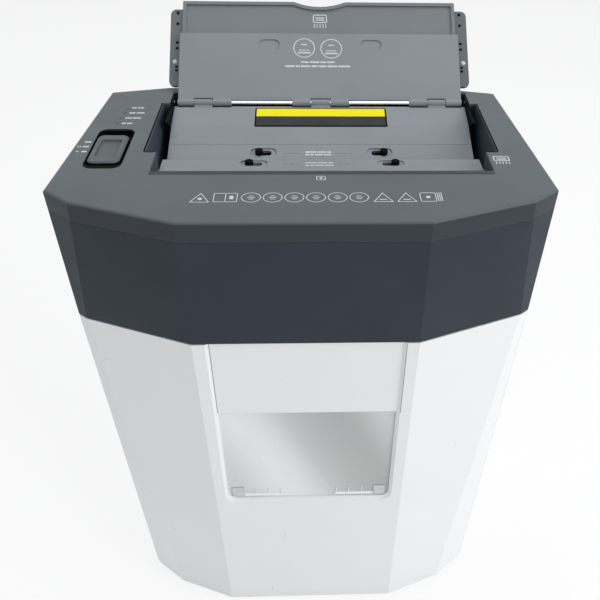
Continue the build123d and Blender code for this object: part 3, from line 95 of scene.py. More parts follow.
def make_camera():
    data = bpy.data.cameras.new("camera")
    data.lens = LENS
    data.sensor_width = SENSOR_WIDTH
    data.shift_x, data.shift_y = CAMERA_SHIFT
    data.clip_start, data.clip_end = CAMERA_CLIP
    camera = bpy.data.objects.new("camera", data)
    camera.location = CAMERA_PLACE
    camera.rotation_euler = [math.radians(angle) for angle in CAMERA_TURN]
    bpy.context.scene.collection.objects.link(camera)
    bpy.context.scene.camera = camera


def soft_lamp(name, place, target, size, power, colour):
    data = bpy.data.lights.new(name, "AREA")
    data.shape = "RECTANGLE"
    data.size, data.size_y = size
    data.energy = power
    data.color = colour
    lamp = bpy.data.objects.new(name, data)
    lamp.location = place
    lamp.rotation_euler = (Vector(target) - Vector(place)).to_track_quat("-Z", "Y").to_euler()
    bpy.context.scene.collection.objects.link(lamp)


def white_for_the_eye(tree, light_shader, seen_shader, share):
    """Light_shader, mixed with a share of seen_shader for the camera, in gloss and through glass."""
    path = node(tree, "ShaderNodeLightPath")
    seen = path.outputs["Is Camera Ray"]
    for kind in ("Is Glossy Ray", "Is Transmission Ray"):
        either = node(tree, "ShaderNodeMath", operation="MAXIMUM")
        tree.links.new(seen, either.inputs[0])
        tree.links.new(path.outputs[kind], either.inputs[1])
        seen = either.outputs[0]
    part = node(tree, "ShaderNodeMath", operation="MULTIPLY")
    part.inputs[1].default_value = share
    tree.links.new(seen, part.inputs[0])
    mix = node(tree, "ShaderNodeMixShader")
    tree.links.new(part.outputs[0], mix.inputs[0])
    tree.links.new(light_shader, mix.inputs[1])
    tree.links.new(seen_shader, mix.inputs[2])
    return mix.outputs[0]


def make_world():
    world = bpy.data.worlds.new("studio")
    world.use_nodes = True
    tree = world.node_tree
    tree.nodes.clear()
    light = node(tree, "ShaderNodeBackground")
    light.inputs["Color"].default_value = WORLD_TINT
    light.inputs["Strength"].default_value = WORLD_STRENGTH
    seen = node(tree, "ShaderNodeBackground")
    seen.inputs["Color"].default_value = WHITE
    seen.inputs["Strength"].default_value = 1.0
    out = node(tree, "ShaderNodeOutputWorld")
    tree.links.new(white_for_the_eye(tree, light.outputs[0], seen.outputs[0], 1.0), out.inputs[0])
    bpy.context.scene.world = world


def make_floor():
    mesh = bpy.data.meshes.new("floor")
    corners = [(a * FLOOR_HALF, b * FLOOR_HALF, 0) for a, b in ((-1, -1), (1, -1), (1, 1), (-1, 1))]
    mesh.from_pydata(corners, [], [(0, 1, 2, 3)])
    floor = bpy.data.objects.new("floor", mesh)
    bpy.context.scene.collection.objects.link(floor)
    material = bpy.data.materials.new("floor_white")
    material.use_nodes = True
    tree = material.node_tree
    tree.nodes.clear()
    matt = node(tree, "ShaderNodeBsdfDiffuse")
    matt.inputs["Color"].default_value = FLOOR_COLOUR
    glow = node(tree, "ShaderNodeEmission")
    glow.inputs["Color"].default_value = WHITE
    glow.inputs["Strength"].default_value = 1.0
    out = node(tree, "ShaderNodeOutputMaterial")
    mixed = white_for_the_eye(tree, matt.outputs[0], glow.outputs[0], FLOOR_WHITE_SHARE)
    tree.links.new(mixed, out.inputs[0])
    mesh.materials.append(material)


make_camera()
make_world()
make_floor()
for lamp in LAMPS:
    soft_lamp(*lamp)
bpy.context.scene.view_settings.view_transform = "Standard"


# ---------------------------------------------------------------- how a material is made
BUMP_DISTANCE = 0.0003
COAT_ROUGHNESS = 0.25
BEVEL_SAMPLES = 4
EDGE_MATCH = (0.8, 0.995)  # product of the rounded and the flat normal at a sharp edge and on a face
STEP_HALF = 0.0006  # half of the height over which one colour turns into another
# Tone of the lighter edges, for wear and as a painted highlight, when no colour is given for them.
WORN_AND_HIGHLIGHT_TONE = 1.6
SMEAR_SHARE = 0.4  # size of the uneven gloss next to that of the uneven tone


def noise(tree, place, size, detail=2.0, roughness=0.5, stretch=None):
    """Noise in object space with features of about size metres."""
    source = place
    if stretch:
        mapping = node(tree, "ShaderNodeMapping")
        mapping.inputs["Scale"].default_value = stretch
        tree.links.new(place, mapping.inputs["Vector"])
        source = mapping.outputs["Vector"]
    made = node(tree, "ShaderNodeTexNoise")
    made.inputs["Scale"].default_value = 1.0 / size
    made.inputs["Detail"].default_value = detail
    made.inputs["Roughness"].default_value = roughness
    tree.links.new(source, made.inputs["Vector"])
    return made.outputs["Fac"]


def spread(tree, value, low, high, from_low=0.3, from_high=0.7):
    """Map a value from its own range, by default that of most of a noise, to low and high."""
    made = node(tree, "ShaderNodeMapRange")
    made.inputs["From Min"].default_value = from_low
    made.inputs["From Max"].default_value = from_high
    made.inputs["To Min"].default_value = low
    made.inputs["To Max"].default_value = high
    tree.links.new(value, made.inputs["Value"])
    return made.outputs["Result"]


def tone(colour, factor):
    return tuple(min(1.0, c * factor) for c in colour) + (1.0,)


def blend_colour(tree, factor, low, high):
    made = node(tree, "ShaderNodeMix", data_type="RGBA")
    tree.links.new(factor, made.inputs["Factor"])
    for socket, value in ((made.inputs["A"], low), (made.inputs["B"], high)):
        if isinstance(value, bpy.types.NodeSocket):
            tree.links.new(value, socket)
        else:
            socket.default_value = value
    return made.outputs["Result"]


def mottled(tree, clouds, colour, mottle):
    """Colour that is a little darker and lighter from place to place."""
    factor = spread(tree, clouds, 0.0, 1.0)
    return blend_colour(tree, factor, tone(colour, 1 - mottle), tone(colour, 1 + mottle))


def rounded_normal(tree, radius):
    made = node(tree, "ShaderNodeBevel", samples=BEVEL_SAMPLES)
    made.inputs["Radius"].default_value = radius
    return made.outputs["Normal"]


def edge_mask(tree, width, gain):
    """Up to gain near the solid's sharp edges, 0 on its faces."""
    flat_normal = node(tree, "ShaderNodeNewGeometry").outputs["Normal"]
    dot = node(tree, "ShaderNodeVectorMath", operation="DOT_PRODUCT")
    tree.links.new(rounded_normal(tree, width), dot.inputs[0])
    tree.links.new(flat_normal, dot.inputs[1])
    return spread(tree, dot.outputs["Value"], gain, 0.0, *EDGE_MATCH)


def blend_sweep(tree, place, base, sweep):
    """Multiply a base colour by a soft band of tones that runs across the object."""
    x_share, z_share, start, length, stops = sweep
    dot = node(tree, "ShaderNodeVectorMath", operation="DOT_PRODUCT")
    dot.inputs[1].default_value = (x_share, 0.0, z_share)
    tree.links.new(place, dot.inputs[0])
    ramp = node(tree, "ShaderNodeValToRGB")
    ramp.color_ramp.interpolation = "B_SPLINE"
    for at, value in stops[1:-1]:
        ramp.color_ramp.elements.new(at).color = (value, value, value, 1.0)
    for end, (at, value) in ((0, stops[0]), (-1, stops[-1])):
        ramp.color_ramp.elements[end].color = (value, value, value, 1.0)
    along = spread(tree, dot.outputs["Value"], 0.0, 1.0, start, start + length)
    tree.links.new(along, ramp.inputs["Fac"])
    made = node(tree, "ShaderNodeMix", data_type="RGBA", blend_type="MULTIPLY")
    made.inputs["Factor"].default_value = 1.0
    tree.links.new(base, made.inputs["A"])
    tree.links.new(ramp.outputs["Color"], made.inputs["B"])
    return made.outputs["Result"]


def surface(
    name, colour, rough, *, metallic=0.0, specular=0.4, refraction=1.5, alpha=1.0, coat=0.0,
    grain=0.0006, grain_depth=0.05, stretch=None, mottle=0.05, mottle_size=0.05, rough_swing=0.06,
    wear_and_highlight=0.25, wear_and_highlight_width=0.0008, wear_and_highlight_colour=None, rounding=0.0005, darker_below=None, sweep=None,
):
    """Moulded plastic or metal: grain in the bump, uneven tone and gloss, and sharp edges painted lighter,
    for wear and as a painted highlight.

    Lengths are in metres. darker_below is a height and the colour painted under it, as shade.
    """
    material = bpy.data.materials.new(name)
    material.use_nodes = True
    tree = material.node_tree
    shader = tree.nodes["Principled BSDF"]
    place = node(tree, "ShaderNodeTexCoord").outputs["Object"]
    shader.inputs["Metallic"].default_value = metallic
    shader.inputs["Specular IOR Level"].default_value = specular
    shader.inputs["IOR"].default_value = refraction
    shader.inputs["Coat Weight"].default_value = coat
    shader.inputs["Coat Roughness"].default_value = COAT_ROUGHNESS
    shader.inputs["Alpha"].default_value = alpha

    clouds = noise(tree, place, mottle_size, detail=4.0, roughness=0.55)
    base = mottled(tree, clouds, colour, mottle)
    # Band of tones across the object; here it paints the pane's sheen into the colour.
    if sweep:
        base = blend_sweep(tree, place, base, sweep)
    # Under a given height the colour is painted darker, as shade.
    if darker_below:
        level, lower = darker_below
        split = node(tree, "ShaderNodeSeparateXYZ")
        tree.links.new(place, split.inputs[0])
        step = spread(tree, split.outputs["Z"], 0.0, 1.0, level - STEP_HALF, level + STEP_HALF)
        base = blend_colour(tree, step, mottled(tree, clouds, lower, mottle), base)
    # Sharp edges painted lighter: worn edges and a painted edge highlight.
    if wear_and_highlight:
        worn_and_highlight = tone(wear_and_highlight_colour, 1.0) if wear_and_highlight_colour else tone(colour, WORN_AND_HIGHLIGHT_TONE)
        base = blend_colour(tree, edge_mask(tree, wear_and_highlight_width, wear_and_highlight), base, worn_and_highlight)
    tree.links.new(base, shader.inputs["Base Color"])

    smear = noise(tree, place, mottle_size * SMEAR_SHARE, detail=5.0, roughness=0.6, stretch=stretch)
    gloss = spread(tree, smear, rough - rough_swing, rough + rough_swing)
    tree.links.new(gloss, shader.inputs["Roughness"])

    bump = node(tree, "ShaderNodeBump")
    bump.inputs["Strength"].default_value = grain_depth
    bump.inputs["Distance"].default_value = BUMP_DISTANCE
    tree.links.new(noise(tree, place, grain, stretch=stretch), bump.inputs["Height"])
    if rounding:
        tree.links.new(rounded_normal(tree, rounding), bump.inputs["Normal"])
    tree.links.new(bump.outputs["Normal"], shader.inputs["Normal"])
    return material


# ---------------------------------------------------------------- materials
BRUSHED = (0.06, 1.0, 1.0)
COVER_SHADE_LINE = 0.4535  # height in metres; under it, the cover's upright rim is painted darker, as shade, about as dark as the head

# Painted sheen across the frosted pane, as light and dark bands in its base colour: x share, z share,
# start, length and (place, tone) stops.
PANE_SHEEN_STOPS = ((0.0, 0.75), (0.16, 1.0), (0.34, 0.98), (0.50, 0.66), (0.74, 0.51), (0.86, 0.55), (1.0, 0.8))
PANE_PAINTED_SHEEN = (1.0, 0.45, 0.025, 0.16, PANE_SHEEN_STOPS)

SURFACES = {
    "shell_white": dict(
        colour=(0.87, 0.875, 0.88), rough=0.33, specular=0.45, coat=0.15, grain_depth=0.03,
        mottle=0.012, mottle_size=0.12, wear_and_highlight=0.5, wear_and_highlight_colour=(0.93, 0.93, 0.93),
    ),
    "slate": dict(
        colour=(0.033, 0.043, 0.056), rough=0.45, specular=0.14, grain_depth=0.10,
        mottle=0.08, mottle_size=0.09, wear_and_highlight=0.35, wear_and_highlight_colour=(0.10, 0.115, 0.13),
    ),
    "cover_grey": dict(
        colour=(0.096, 0.113, 0.125), rough=0.46, specular=0.42, grain_depth=0.12,
        mottle=0.05, mottle_size=0.10, wear_and_highlight=0.3, wear_and_highlight_colour=(0.20, 0.22, 0.24),
    ),
    # The top cover, with its upright rim painted darker, as shade, below a given height.
    "cover_with_painted_shade": dict(
        colour=(0.096, 0.116, 0.127), rough=0.46, specular=0.22, grain_depth=0.12,
        mottle=0.05, mottle_size=0.10, wear_and_highlight=0.3, wear_and_highlight_colour=(0.20, 0.22, 0.24),
        darker_below=(COVER_SHADE_LINE, (0.035, 0.043, 0.055)),
    ),
    "tray_grey": dict(
        colour=(0.235, 0.258, 0.280), rough=0.48, specular=0.25, grain_depth=0.10,
        mottle=0.04, mottle_size=0.07, wear_and_highlight=0.35, wear_and_highlight_colour=(0.38, 0.40, 0.42),
    ),
    # A copy of tray_grey painted darker, as shade, for the extension tray.
    "tray_painted_shade": dict(
        colour=(0.175, 0.195, 0.212), rough=0.48, specular=0.25, grain_depth=0.10,
        mottle=0.04, mottle_size=0.07, wear_and_highlight=0.35, wear_and_highlight_colour=(0.38, 0.40, 0.42),
    ),
    "slider_grey": dict(
        colour=(0.082, 0.097, 0.106), rough=0.46, specular=0.25, grain_depth=0.12,
        mottle=0.05, mottle_size=0.03, wear_and_highlight=0.3, wear_and_highlight_colour=(0.16, 0.18, 0.19),
    ),
    "liner_slate": dict(
        colour=(0.045, 0.062, 0.086), rough=0.5, specular=0.12, grain_depth=0.10,
        mottle=0.08, mottle_size=0.06, wear_and_highlight=0.35, wear_and_highlight_colour=(0.12, 0.135, 0.15),
    ),
    "roller_grey": dict(
        colour=(0.20, 0.215, 0.23), rough=0.7, specular=0.2, grain=0.0009, grain_depth=0.2,
        mottle=0.1, wear_and_highlight=0.3, wear_and_highlight_colour=(0.28, 0.29, 0.30),
    ),
    "black": dict(
        colour=(0.004, 0.0045, 0.005), rough=0.6, specular=0.15, refraction=1.2, grain_depth=0.08,
        mottle=0.15, wear_and_highlight=0.12, wear_and_highlight_colour=(0.03, 0.03, 0.033),
    ),
    "band_black": dict(
        colour=(0.019, 0.021, 0.024), rough=0.55, specular=0.2, grain_depth=0.06,
        mottle=0.1, wear_and_highlight=0.1, wear_and_highlight_colour=(0.05, 0.05, 0.055),
    ),
    "seam_grey": dict(
        colour=(0.38, 0.385, 0.39), rough=0.6, specular=0.2, mottle=0.1, wear_and_highlight=0.0, rounding=0.0,
    ),
    # The frosted pane, with a painted sheen across its colour.
    "clear": dict(
        colour=(0.98, 0.985, 0.99), rough=0.22, specular=0.5, alpha=0.88, grain=0.004, grain_depth=0.02,
        mottle=0.02, wear_and_highlight=0.0, rounding=0.0, sweep=PANE_PAINTED_SHEEN,
    ),
    "pane_clip": dict(
        colour=(0.62, 0.635, 0.65), rough=0.35, specular=0.4, mottle=0.12, mottle_size=0.006, wear_and_highlight=0.0,
    ),
    "pane_rib": dict(colour=(0.93, 0.94, 0.95), rough=0.3, specular=0.5, mottle=0.03, wear_and_highlight=0.0),
    "bin_inner": dict(
        colour=(0.80, 0.81, 0.82), rough=0.5, specular=0.3, grain_depth=0.06,
        mottle=0.03, wear_and_highlight=0.2, wear_and_highlight_colour=(0.9, 0.9, 0.9),
    ),
    "steel": dict(
        colour=(0.55, 0.55, 0.56), rough=0.35, metallic=1.0, grain_depth=0.12, stretch=BRUSHED,
        mottle=0.08, wear_and_highlight=0.3, wear_and_highlight_colour=(0.8, 0.8, 0.8),
    ),
    "bright_steel": dict(
        colour=(0.82, 0.82, 0.83), rough=0.16, metallic=1.0, grain_depth=0.05, stretch=BRUSHED,
        mottle=0.05, wear_and_highlight=0.0,
    ),
    "tool_steel": dict(
        colour=(0.36, 0.36, 0.37), rough=0.38, metallic=1.0, grain_depth=0.15,
        mottle=0.15, wear_and_highlight=0.7, wear_and_highlight_colour=(0.75, 0.75, 0.76),
    ),
    "bronze": dict(
        colour=(0.50, 0.36, 0.16), rough=0.42, metallic=1.0, grain_depth=0.12, mottle=0.12, wear_and_highlight=0.3,
    ),
    "rubber": dict(
        colour=(0.022, 0.022, 0.023), rough=0.75, specular=0.25, grain=0.0009, grain_depth=0.25,
        mottle=0.2, wear_and_highlight=0.3, wear_and_highlight_colour=(0.05, 0.05, 0.05),
    ),
    "gear_nylon": dict(colour=(0.66, 0.64, 0.56), rough=0.5, specular=0.4, grain_depth=0.08, mottle=0.05),
    "motor_grey": dict(colour=(0.10, 0.10, 0.11), rough=0.36, metallic=0.6, grain_depth=0.08, mottle=0.10),
    "board_green": dict(
        colour=(0.02, 0.12, 0.06), rough=0.35, specular=0.5, grain_depth=0.08,
        mottle=0.2, mottle_size=0.008,
    ),
    "lamp": dict(
        colour=(0.03, 0.05, 0.045), rough=0.12, specular=0.6, grain_depth=0.0, mottle=0.1, wear_and_highlight=0.0,
    ),
    "yellow": dict(
        colour=(0.86, 0.80, 0.002), rough=0.45, specular=0.12, grain_depth=0.04,
        mottle=0.02, mottle_size=0.02, wear_and_highlight=0.2, wear_and_highlight_colour=(0.70, 0.62, 0.03),
    ),
    "print": dict(
        colour=(0.62, 0.64, 0.66), rough=0.55, specular=0.3, grain=0.0003, grain_depth=0.1,
        mottle=0.12, mottle_size=0.004, wear_and_highlight=0.0, rounding=0.0,
    ),
    "faint_print": dict(
        colour=(0.11, 0.12, 0.13), rough=0.6, specular=0.3, grain=0.0003, grain_depth=0.1,
        mottle=0.2, mottle_size=0.004, wear_and_highlight=0.0, rounding=0.0,
    ),
}
MATERIALS = {name: surface(name, **values) for name, values in SURFACES.items()}

# Nodes whose colour differs a little from that of their slot in the record: a finish of their own, but
# painted shade on the top cover's rim and on the extension tray.
FINISH_OR_PAINTED_SHADE = {
    "top_cover": "cover_with_painted_shade",
    "extension_tray": "tray_painted_shade",
    "feed_rollers": "roller_grey",
    "power_slider": "slider_grey",
    "well_liner": "liner_slate",
    "band_dark": "band_black",
}
for part in frame["record"]["subparts"]:
    finish_or_shade = FINISH_OR_PAINTED_SHADE.get(part["node"], part["material_slot"])
    NODES[part["node"]].data.materials.clear()
    NODES[part["node"]].data.materials.append(MATERIALS[finish_or_shade])


# ---------------------------------------------------------------- planes that carry marks and fittings
class Sheet:
    """Plane with an origin, two directions along it and the body that its pieces move with."""

    def __init__(self, origin, along, up, body):
        self.origin = Vector(origin)
        self.along = Vector(along).normalized()
        self.up = Vector(up).normalized()
        self.normal = self.along.cross(self.up)
        self.body = body

    def matrix(self, u, v, level=0.0):
        """Place at (u, v) on the plane and level over it, turned as the plane is."""
        place = self.origin + self.along * u + self.up * v + self.normal * level
        turned = Matrix((self.along, self.up, self.normal)).transposed().to_4x4()
        return Matrix.Translation(place * MM) @ turned


def tilted(origin, angle, offset, body):
    """Sheet that rises to the back at an angle, offset square to itself."""
    up = Vector((0, math.cos(angle), math.sin(angle)))
    normal = Vector((1, 0, 0)).cross(up)
    return Sheet(Vector(origin) + normal * offset, (1, 0, 0), up, body)


def level_sheet(x, height, body):
    return Sheet((x, 0, height), (1, 0, 0), (0, 1, 0), body)


def upright_sheet(y, body, along=(1, 0, 0)):
    return Sheet((0, y, 0), along, (0, 0, 1), body)


TOP = level_sheet(0, HEIGHT, "cabinet")
KNOB = level_sheet(0, HEIGHT, "switch")
PANEL_2 = level_sheet(TRAY_X, STRIP_TOP, "panel_2")
LID = tilted(HINGE, LID_LEAN, PLATE_FACE, "lid")
TRAY = tilted(HINGE, LID_LEAN, TRAY_FACE, "extension")
TABS = tilted(HINGE, LID_LEAN, TAB_FACE, "lid")
PANEL_1 = tilted(SLOPE_REAR, SLOPE_LEAN, 0.0, "panel_1")
RAMP = tilted(RAMP_FRONT, RAMP_LEAN, 0.0, "cabinet")
FRONT = upright_sheet(FRONT_Y, "bin")
PANE = upright_sheet(PANE_FACE, "bin")
BACK = upright_sheet(BACK_Y, "cabinet", (-1, 0, 0))
ACROSS_ROD = Sheet(HINGE, (0, 1, 0), (0, 0, 1), "cabinet")  # square to the hinge rod, at its middle

SIDES = ((-1, "left"), (1, "right"))


# ---------------------------------------------------------------- how a piece is made
PRINT_HEIGHT = 0.05
LATHE_STEPS = 24


def add_piece(name, data, sheet, place, material):
    piece = bpy.data.objects.new(name, data)
    bpy.context.scene.collection.objects.link(piece)
    piece.matrix_world = sheet.matrix(*place)
    data.materials.append(MATERIALS[material])
    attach(piece, sheet.body)


def printed(name, sheet, outlines, material="print", level=0.0, height=PRINT_HEIGHT):
    """Raised ink or thin plate: closed outlines on a sheet; an outline inside another is a hole."""
    curve = bpy.data.curves.new(name, "CURVE")
    curve.dimensions = "2D"
    curve.fill_mode = "BOTH"
    curve.extrude = height / 2 * MM
    for outline in outlines:
        spline = curve.splines.new("POLY")
        spline.points.add(len(outline) - 1)
        for point, (u, v) in zip(spline.points, outline):
            point.co = (u * MM, v * MM, 0, 1)
        spline.use_cyclic_u = True
    add_piece(name, curve, sheet, (0, 0, level + height / 2), material)


def block(name, sheet, centre, size, material, bevel=0.15):
    """Box with rounded edges, its centre at (u, v) or (u, v, level) of a sheet."""
    mesh = bpy.data.meshes.new(name)
    made = bmesh.new()
    bmesh.ops.create_cube(made, size=1.0)
    bmesh.ops.scale(made, vec=[side * MM for side in size], verts=made.verts)
    bmesh.ops.bevel(made, geom=made.edges, offset=bevel * MM, segments=2, affect="EDGES")
    made.to_mesh(mesh)
    made.free()
    add_piece(name, mesh, sheet, centre, material)


def lathed(name, sheet, place, profile, material):
    """Solid of revolution about a sheet's normal, from (radius, height) points that start and end on it."""
    mesh = bpy.data.meshes.new(name)
    made = bmesh.new()
    rings = []
    for radius, height in profile:
        angles = [2 * math.pi * i / LATHE_STEPS for i in range(LATHE_STEPS if radius else 1)]
        rings.append([
            made.verts.new((radius * MM * math.cos(angle), radius * MM * math.sin(angle), height * MM))
            for angle in angles
        ])
    for low, high in zip(rings, rings[1:]):
        for i in range(LATHE_STEPS):
            j = (i + 1) % LATHE_STEPS
            corners = [low[i % len(low)], low[j % len(low)], high[j % len(high)], high[i % len(high)]]
            made.faces.new(list(dict.fromkeys(corners)))
    bmesh.ops.recalc_face_normals(made, faces=made.faces)
    for face in made.faces:
        face.smooth = True
    made.to_mesh(mesh)
    made.free()
    add_piece(name, mesh, sheet, place, material)


# ---------------------------------------------------------------- outlines
ROUND_STEPS = 32
CORNER_STEPS = 5
DASH_GAP = 0.9


def bar_shape(u, v, width, height):
    corners = ((-1, -1), (1, -1), (1, 1), (-1, 1))
    return [(u + a * width / 2, v + b * height / 2) for a, b in corners]


def round_shape(u, v, radius, squeeze=1.0):
    angles = [i * (2 * math.pi / ROUND_STEPS) for i in range(ROUND_STEPS)]
    return [(u + radius * math.cos(angle), v + squeeze * radius * math.sin(angle)) for angle in angles]


def soft_box(u, v, width, height, corner):
    points = []
    for quarter, (a, b) in enumerate(((1, 1), (-1, 1), (-1, -1), (1, -1))):
        for i in range(CORNER_STEPS + 1):
            angle = (quarter + i / CORNER_STEPS) * math.pi / 2
            points.append((
                u + a * (width / 2 - corner) + corner * math.cos(angle),
                v + b * (height / 2 - corner) + corner * math.sin(angle),
            ))
    return points


def ring(u, v, radius, line, squeeze=1.0):
    return [round_shape(u, v, radius, squeeze), round_shape(u, v, radius - line, squeeze)]


def frame_shape(u, v, width, height, corner, line):
    return [
        soft_box(u, v, width, height, corner),
        soft_box(u, v, width - 2 * line, height - 2 * line, max(0.1, corner - line)),
    ]


def triangle(u, v, half, height, line):
    """Triangle that stands on its base, drawn as a line."""
    inner = half * height / (half + math.hypot(half, height))  # radius of the circle inside it
    centre = v - height / 2 + inner
    shapes = []
    for shrink in (0.0, line):
        factor = 1 - shrink / inner
        shapes.append([
            (u + factor * a, centre + factor * (v + b - centre))
            for a, b in ((-half, -height / 2), (half, -height / 2), (0, height / 2))
        ])
    return shapes


def dashes(u_low, u_high, v, height, words):
    """Row of short bars between two ends, with the shares that words gives."""
    room = u_high - u_low - DASH_GAP * (len(words) - 1)
    shapes = []
    at = u_low
    for share in words:
        width = room * share / sum(words)
        shapes.append(bar_shape(at + width / 2, v, width, height))
        at += width + DASH_GAP
    return shapes


def sheet_mark(u, v, size):
    """Generic sheet of paper over a row of strips."""
    shapes = frame_shape(u, v + 0.20 * size, 0.95 * size, 0.62 * size, 0.12 * size, 0.07 * size)
    shapes.append(bar_shape(u, v + 0.26 * size, 0.6 * size, 0.08 * size))
    shapes.append(bar_shape(u, v + 0.10 * size, 0.6 * size, 0.08 * size))
    for index in range(5):
        shapes.append(bar_shape(u + (index - 2) * 0.19 * size, v - 0.33 * size, 0.06 * size, 0.26 * size))
    return shapes


# ---------------------------------------------------------------- marks on the top cover
LINE = 0.55
ROW_V = -78.6
MARK_HEIGHT = 12.2
DOT_TRIANGLE = -69.0
BOOK = -52.3
FIRST_RING = -35.4
RING_PITCH = 14.4
TOP_RING = (6.6, LINE, 0.96)  # radius, line and how far it is squeezed
BAR_TRIANGLES = (52.6, 68.4)
STACK = 83.0
STACK_EDGE = 89.6
STACK_PITCH = 1.3


def row_marks():
    """From left to right: a triangle, an open book, six rings, two triangles and a stack of sheets."""
    shapes = triangle(DOT_TRIANGLE, ROW_V, 6.6, MARK_HEIGHT, LINE)
    shapes.append(round_shape(DOT_TRIANGLE, ROW_V - 1.6, 1.5))
    shapes += frame_shape(BOOK, ROW_V, 16.0, 11.6, 1.0, LINE)
    shapes.append(bar_shape(BOOK, ROW_V, LINE, 9.0))
    shapes.append(bar_shape(BOOK + 4.0, ROW_V, 2.6, 4.4))
    for index in range(6):
        centre = FIRST_RING + RING_PITCH * index
        shapes += ring(centre, ROW_V, *TOP_RING)
        for step in (-2.0, 0.0, 2.0):
            shapes.append(bar_shape(centre, ROW_V + step, 5.2 - abs(step), 0.6))
    for centre in BAR_TRIANGLES:
        shapes += triangle(centre, ROW_V, 6.8, MARK_HEIGHT, LINE)
        shapes.append(bar_shape(centre, ROW_V - 3.0, 5.0, 0.9))
    shapes += frame_shape(STACK, ROW_V, 11.0, 12.0, 1.6, LINE)
    shapes.append(round_shape(STACK, ROW_V, 1.5))
    for index in range(3):
        shapes.append(bar_shape(STACK_EDGE + STACK_PITCH * index, ROW_V + 0.3, LINE, 11.4))
    return shapes


LEGEND_HEIGHT = 2.0
LAMP_LEGENDS = (  # left end, right end and v
    (-140.7, -131.0, 66.2),
    (-141.0, -128.9, 56.2),
    (-142.2, -130.0, 46.5),
    (-143.1, -135.0, 36.5),
)
SWITCH_LEGENDS = ((-163.8, 3.7), (-163.4, -3.8), (-162.6, -11.8))  # left end and v
SWITCH_LEGEND_END = -159.0


def legend_marks():
    """Bars beside the status lamps and the power switch, with a ring and a dot."""
    shapes = []
    for u_low, u_high, v in LAMP_LEGENDS:
        shapes += dashes(u_low, u_high, v, LEGEND_HEIGHT, (3, 4))
    for u_low, v in SWITCH_LEGENDS:
        shapes += dashes(u_low, SWITCH_LEGEND_END, v, LEGEND_HEIGHT, (1,))
    shapes += ring(-166.1, -3.8, 1.5, 0.45)
    shapes.append(round_shape(-165.8, -11.8, 0.8))
    return shapes


SLOT_MARK = (11.5, -52.3)
printed("row_of_marks", TOP, row_marks())
printed("slot_mark", TOP, frame_shape(*SLOT_MARK, 6.6, 5.6, 1.4, 0.6) + [round_shape(*SLOT_MARK, 1.1)])
printed("feed_mark_top", TOP, sheet_mark(144.2, -25.6, 12.6))
printed("legend_bars", TOP, legend_marks())


# ---------------------------------------------------------------- marks on the lid and the panels
LID_RINGS = ((-13.6, 50.0), (9.6, 49.4))
LID_RING = (9.3, 0.8, 0.98)  # radius, line and how far it is squeezed
RING_BARS = ((-4.4, 11.0, 1.3), (-2.0, 9.0, 0.8), (3.2, 5.0, 1.0))  # step from the centre, width, height


def lid_marks():
    """Two rings with bars in them, over two rows of bars."""
    shapes = []
    for u, v in LID_RINGS:
        shapes += ring(u, v, *LID_RING)
        for step, width, height in RING_BARS:
            shapes.append(bar_shape(u, v + step, width, height))
    shapes += dashes(-16.2, 12.4, 36.8, 1.5, (4, 5, 3, 4))
    shapes += dashes(-30.0, 25.4, 33.0, 1.6, (5, 2, 5, 3, 4, 5, 6))
    return shapes


PANEL_ROW_START = -13.0
PANEL_ROW_HEIGHT = 1.35
GUIDE_HEIGHT = 0.4
GUIDES = ((-30.0, -17.0), (12.4, 24.6))


def mark_panel(sheet, upper, lower):
    """Two rows of bars, each given by its right end and v, and faint guides on both sides of them."""
    rows = []
    for (u_high, v), words in ((upper, (5, 4, 2)), (lower, (2, 2, 4, 4))):
        rows += dashes(PANEL_ROW_START, u_high, v, PANEL_ROW_HEIGHT, words)
    printed(f"{sheet.body}_marks", sheet, rows)
    guides = []
    for u_low, u_high in GUIDES:
        guides += dashes(u_low, u_high, (upper[1] + lower[1]) / 2, GUIDE_HEIGHT, (3, 1, 4, 1, 2))
    printed(f"{sheet.body}_guides", sheet, guides, "faint_print")


printed("lid_marks", LID, lid_marks())
printed("feed_mark_tray", TRAY, sheet_mark(0.3, 77.6, 13.0))
mark_panel(PANEL_1, (7.6, -9.2), (7.6, -12.0))
mark_panel(PANEL_2, (8.0, -4.4), (8.2, -8.4))


# ---------------------------------------------------------------- side tabs of the lid
RIVET = ((0, 0.75), (0.7, 0.72), (1.5, 0.5), (2.0, 0.1), (2.0, -0.3), (0, -0.3))
RIVET_V = 39.6
TAB_MID = 124.2
TAB_SLOT_MID = 122.6
TAB_SLOT_WIDTH = 2.4
TAB_SLOT_DEPTH = 0.3
TAB_SLOTS = ((85.7, 2.6), (75.3, 2.6), (57.7, 2.2), (52.3, 2.2), (35.0, 2.0), (31.7, 2.0))  # v, height
for side, hand in SIDES:
    lathed(f"tab_rivet_{hand}", TABS, (side * TAB_MID, RIVET_V), RIVET, "print")
    for index, (v, height) in enumerate(TAB_SLOTS):
        size = (TAB_SLOT_WIDTH, height, TAB_SLOT_DEPTH)
        block(f"tab_slot_{hand}_{index + 1}", TABS, (side * TAB_SLOT_MID, v), size, "black", 0.1)


# ---------------------------------------------------------------- latches
LATCH_CAP = ((0, 0.75), (1.4, 0.7), (2.6, 0.35), (3.0, -0.1), (0, -0.1))
CAP_LEVEL = 1.8
CAP_FROM_SLOT = 3.5
SLOT_SIZE = (10.6, 3.4)
SLOT_EDGE = (12.6, 4.9)
RECESS_FLOOR = -0.9
SHIELD_LEVEL = -2.6
SHIELD_HEIGHT = 0.15


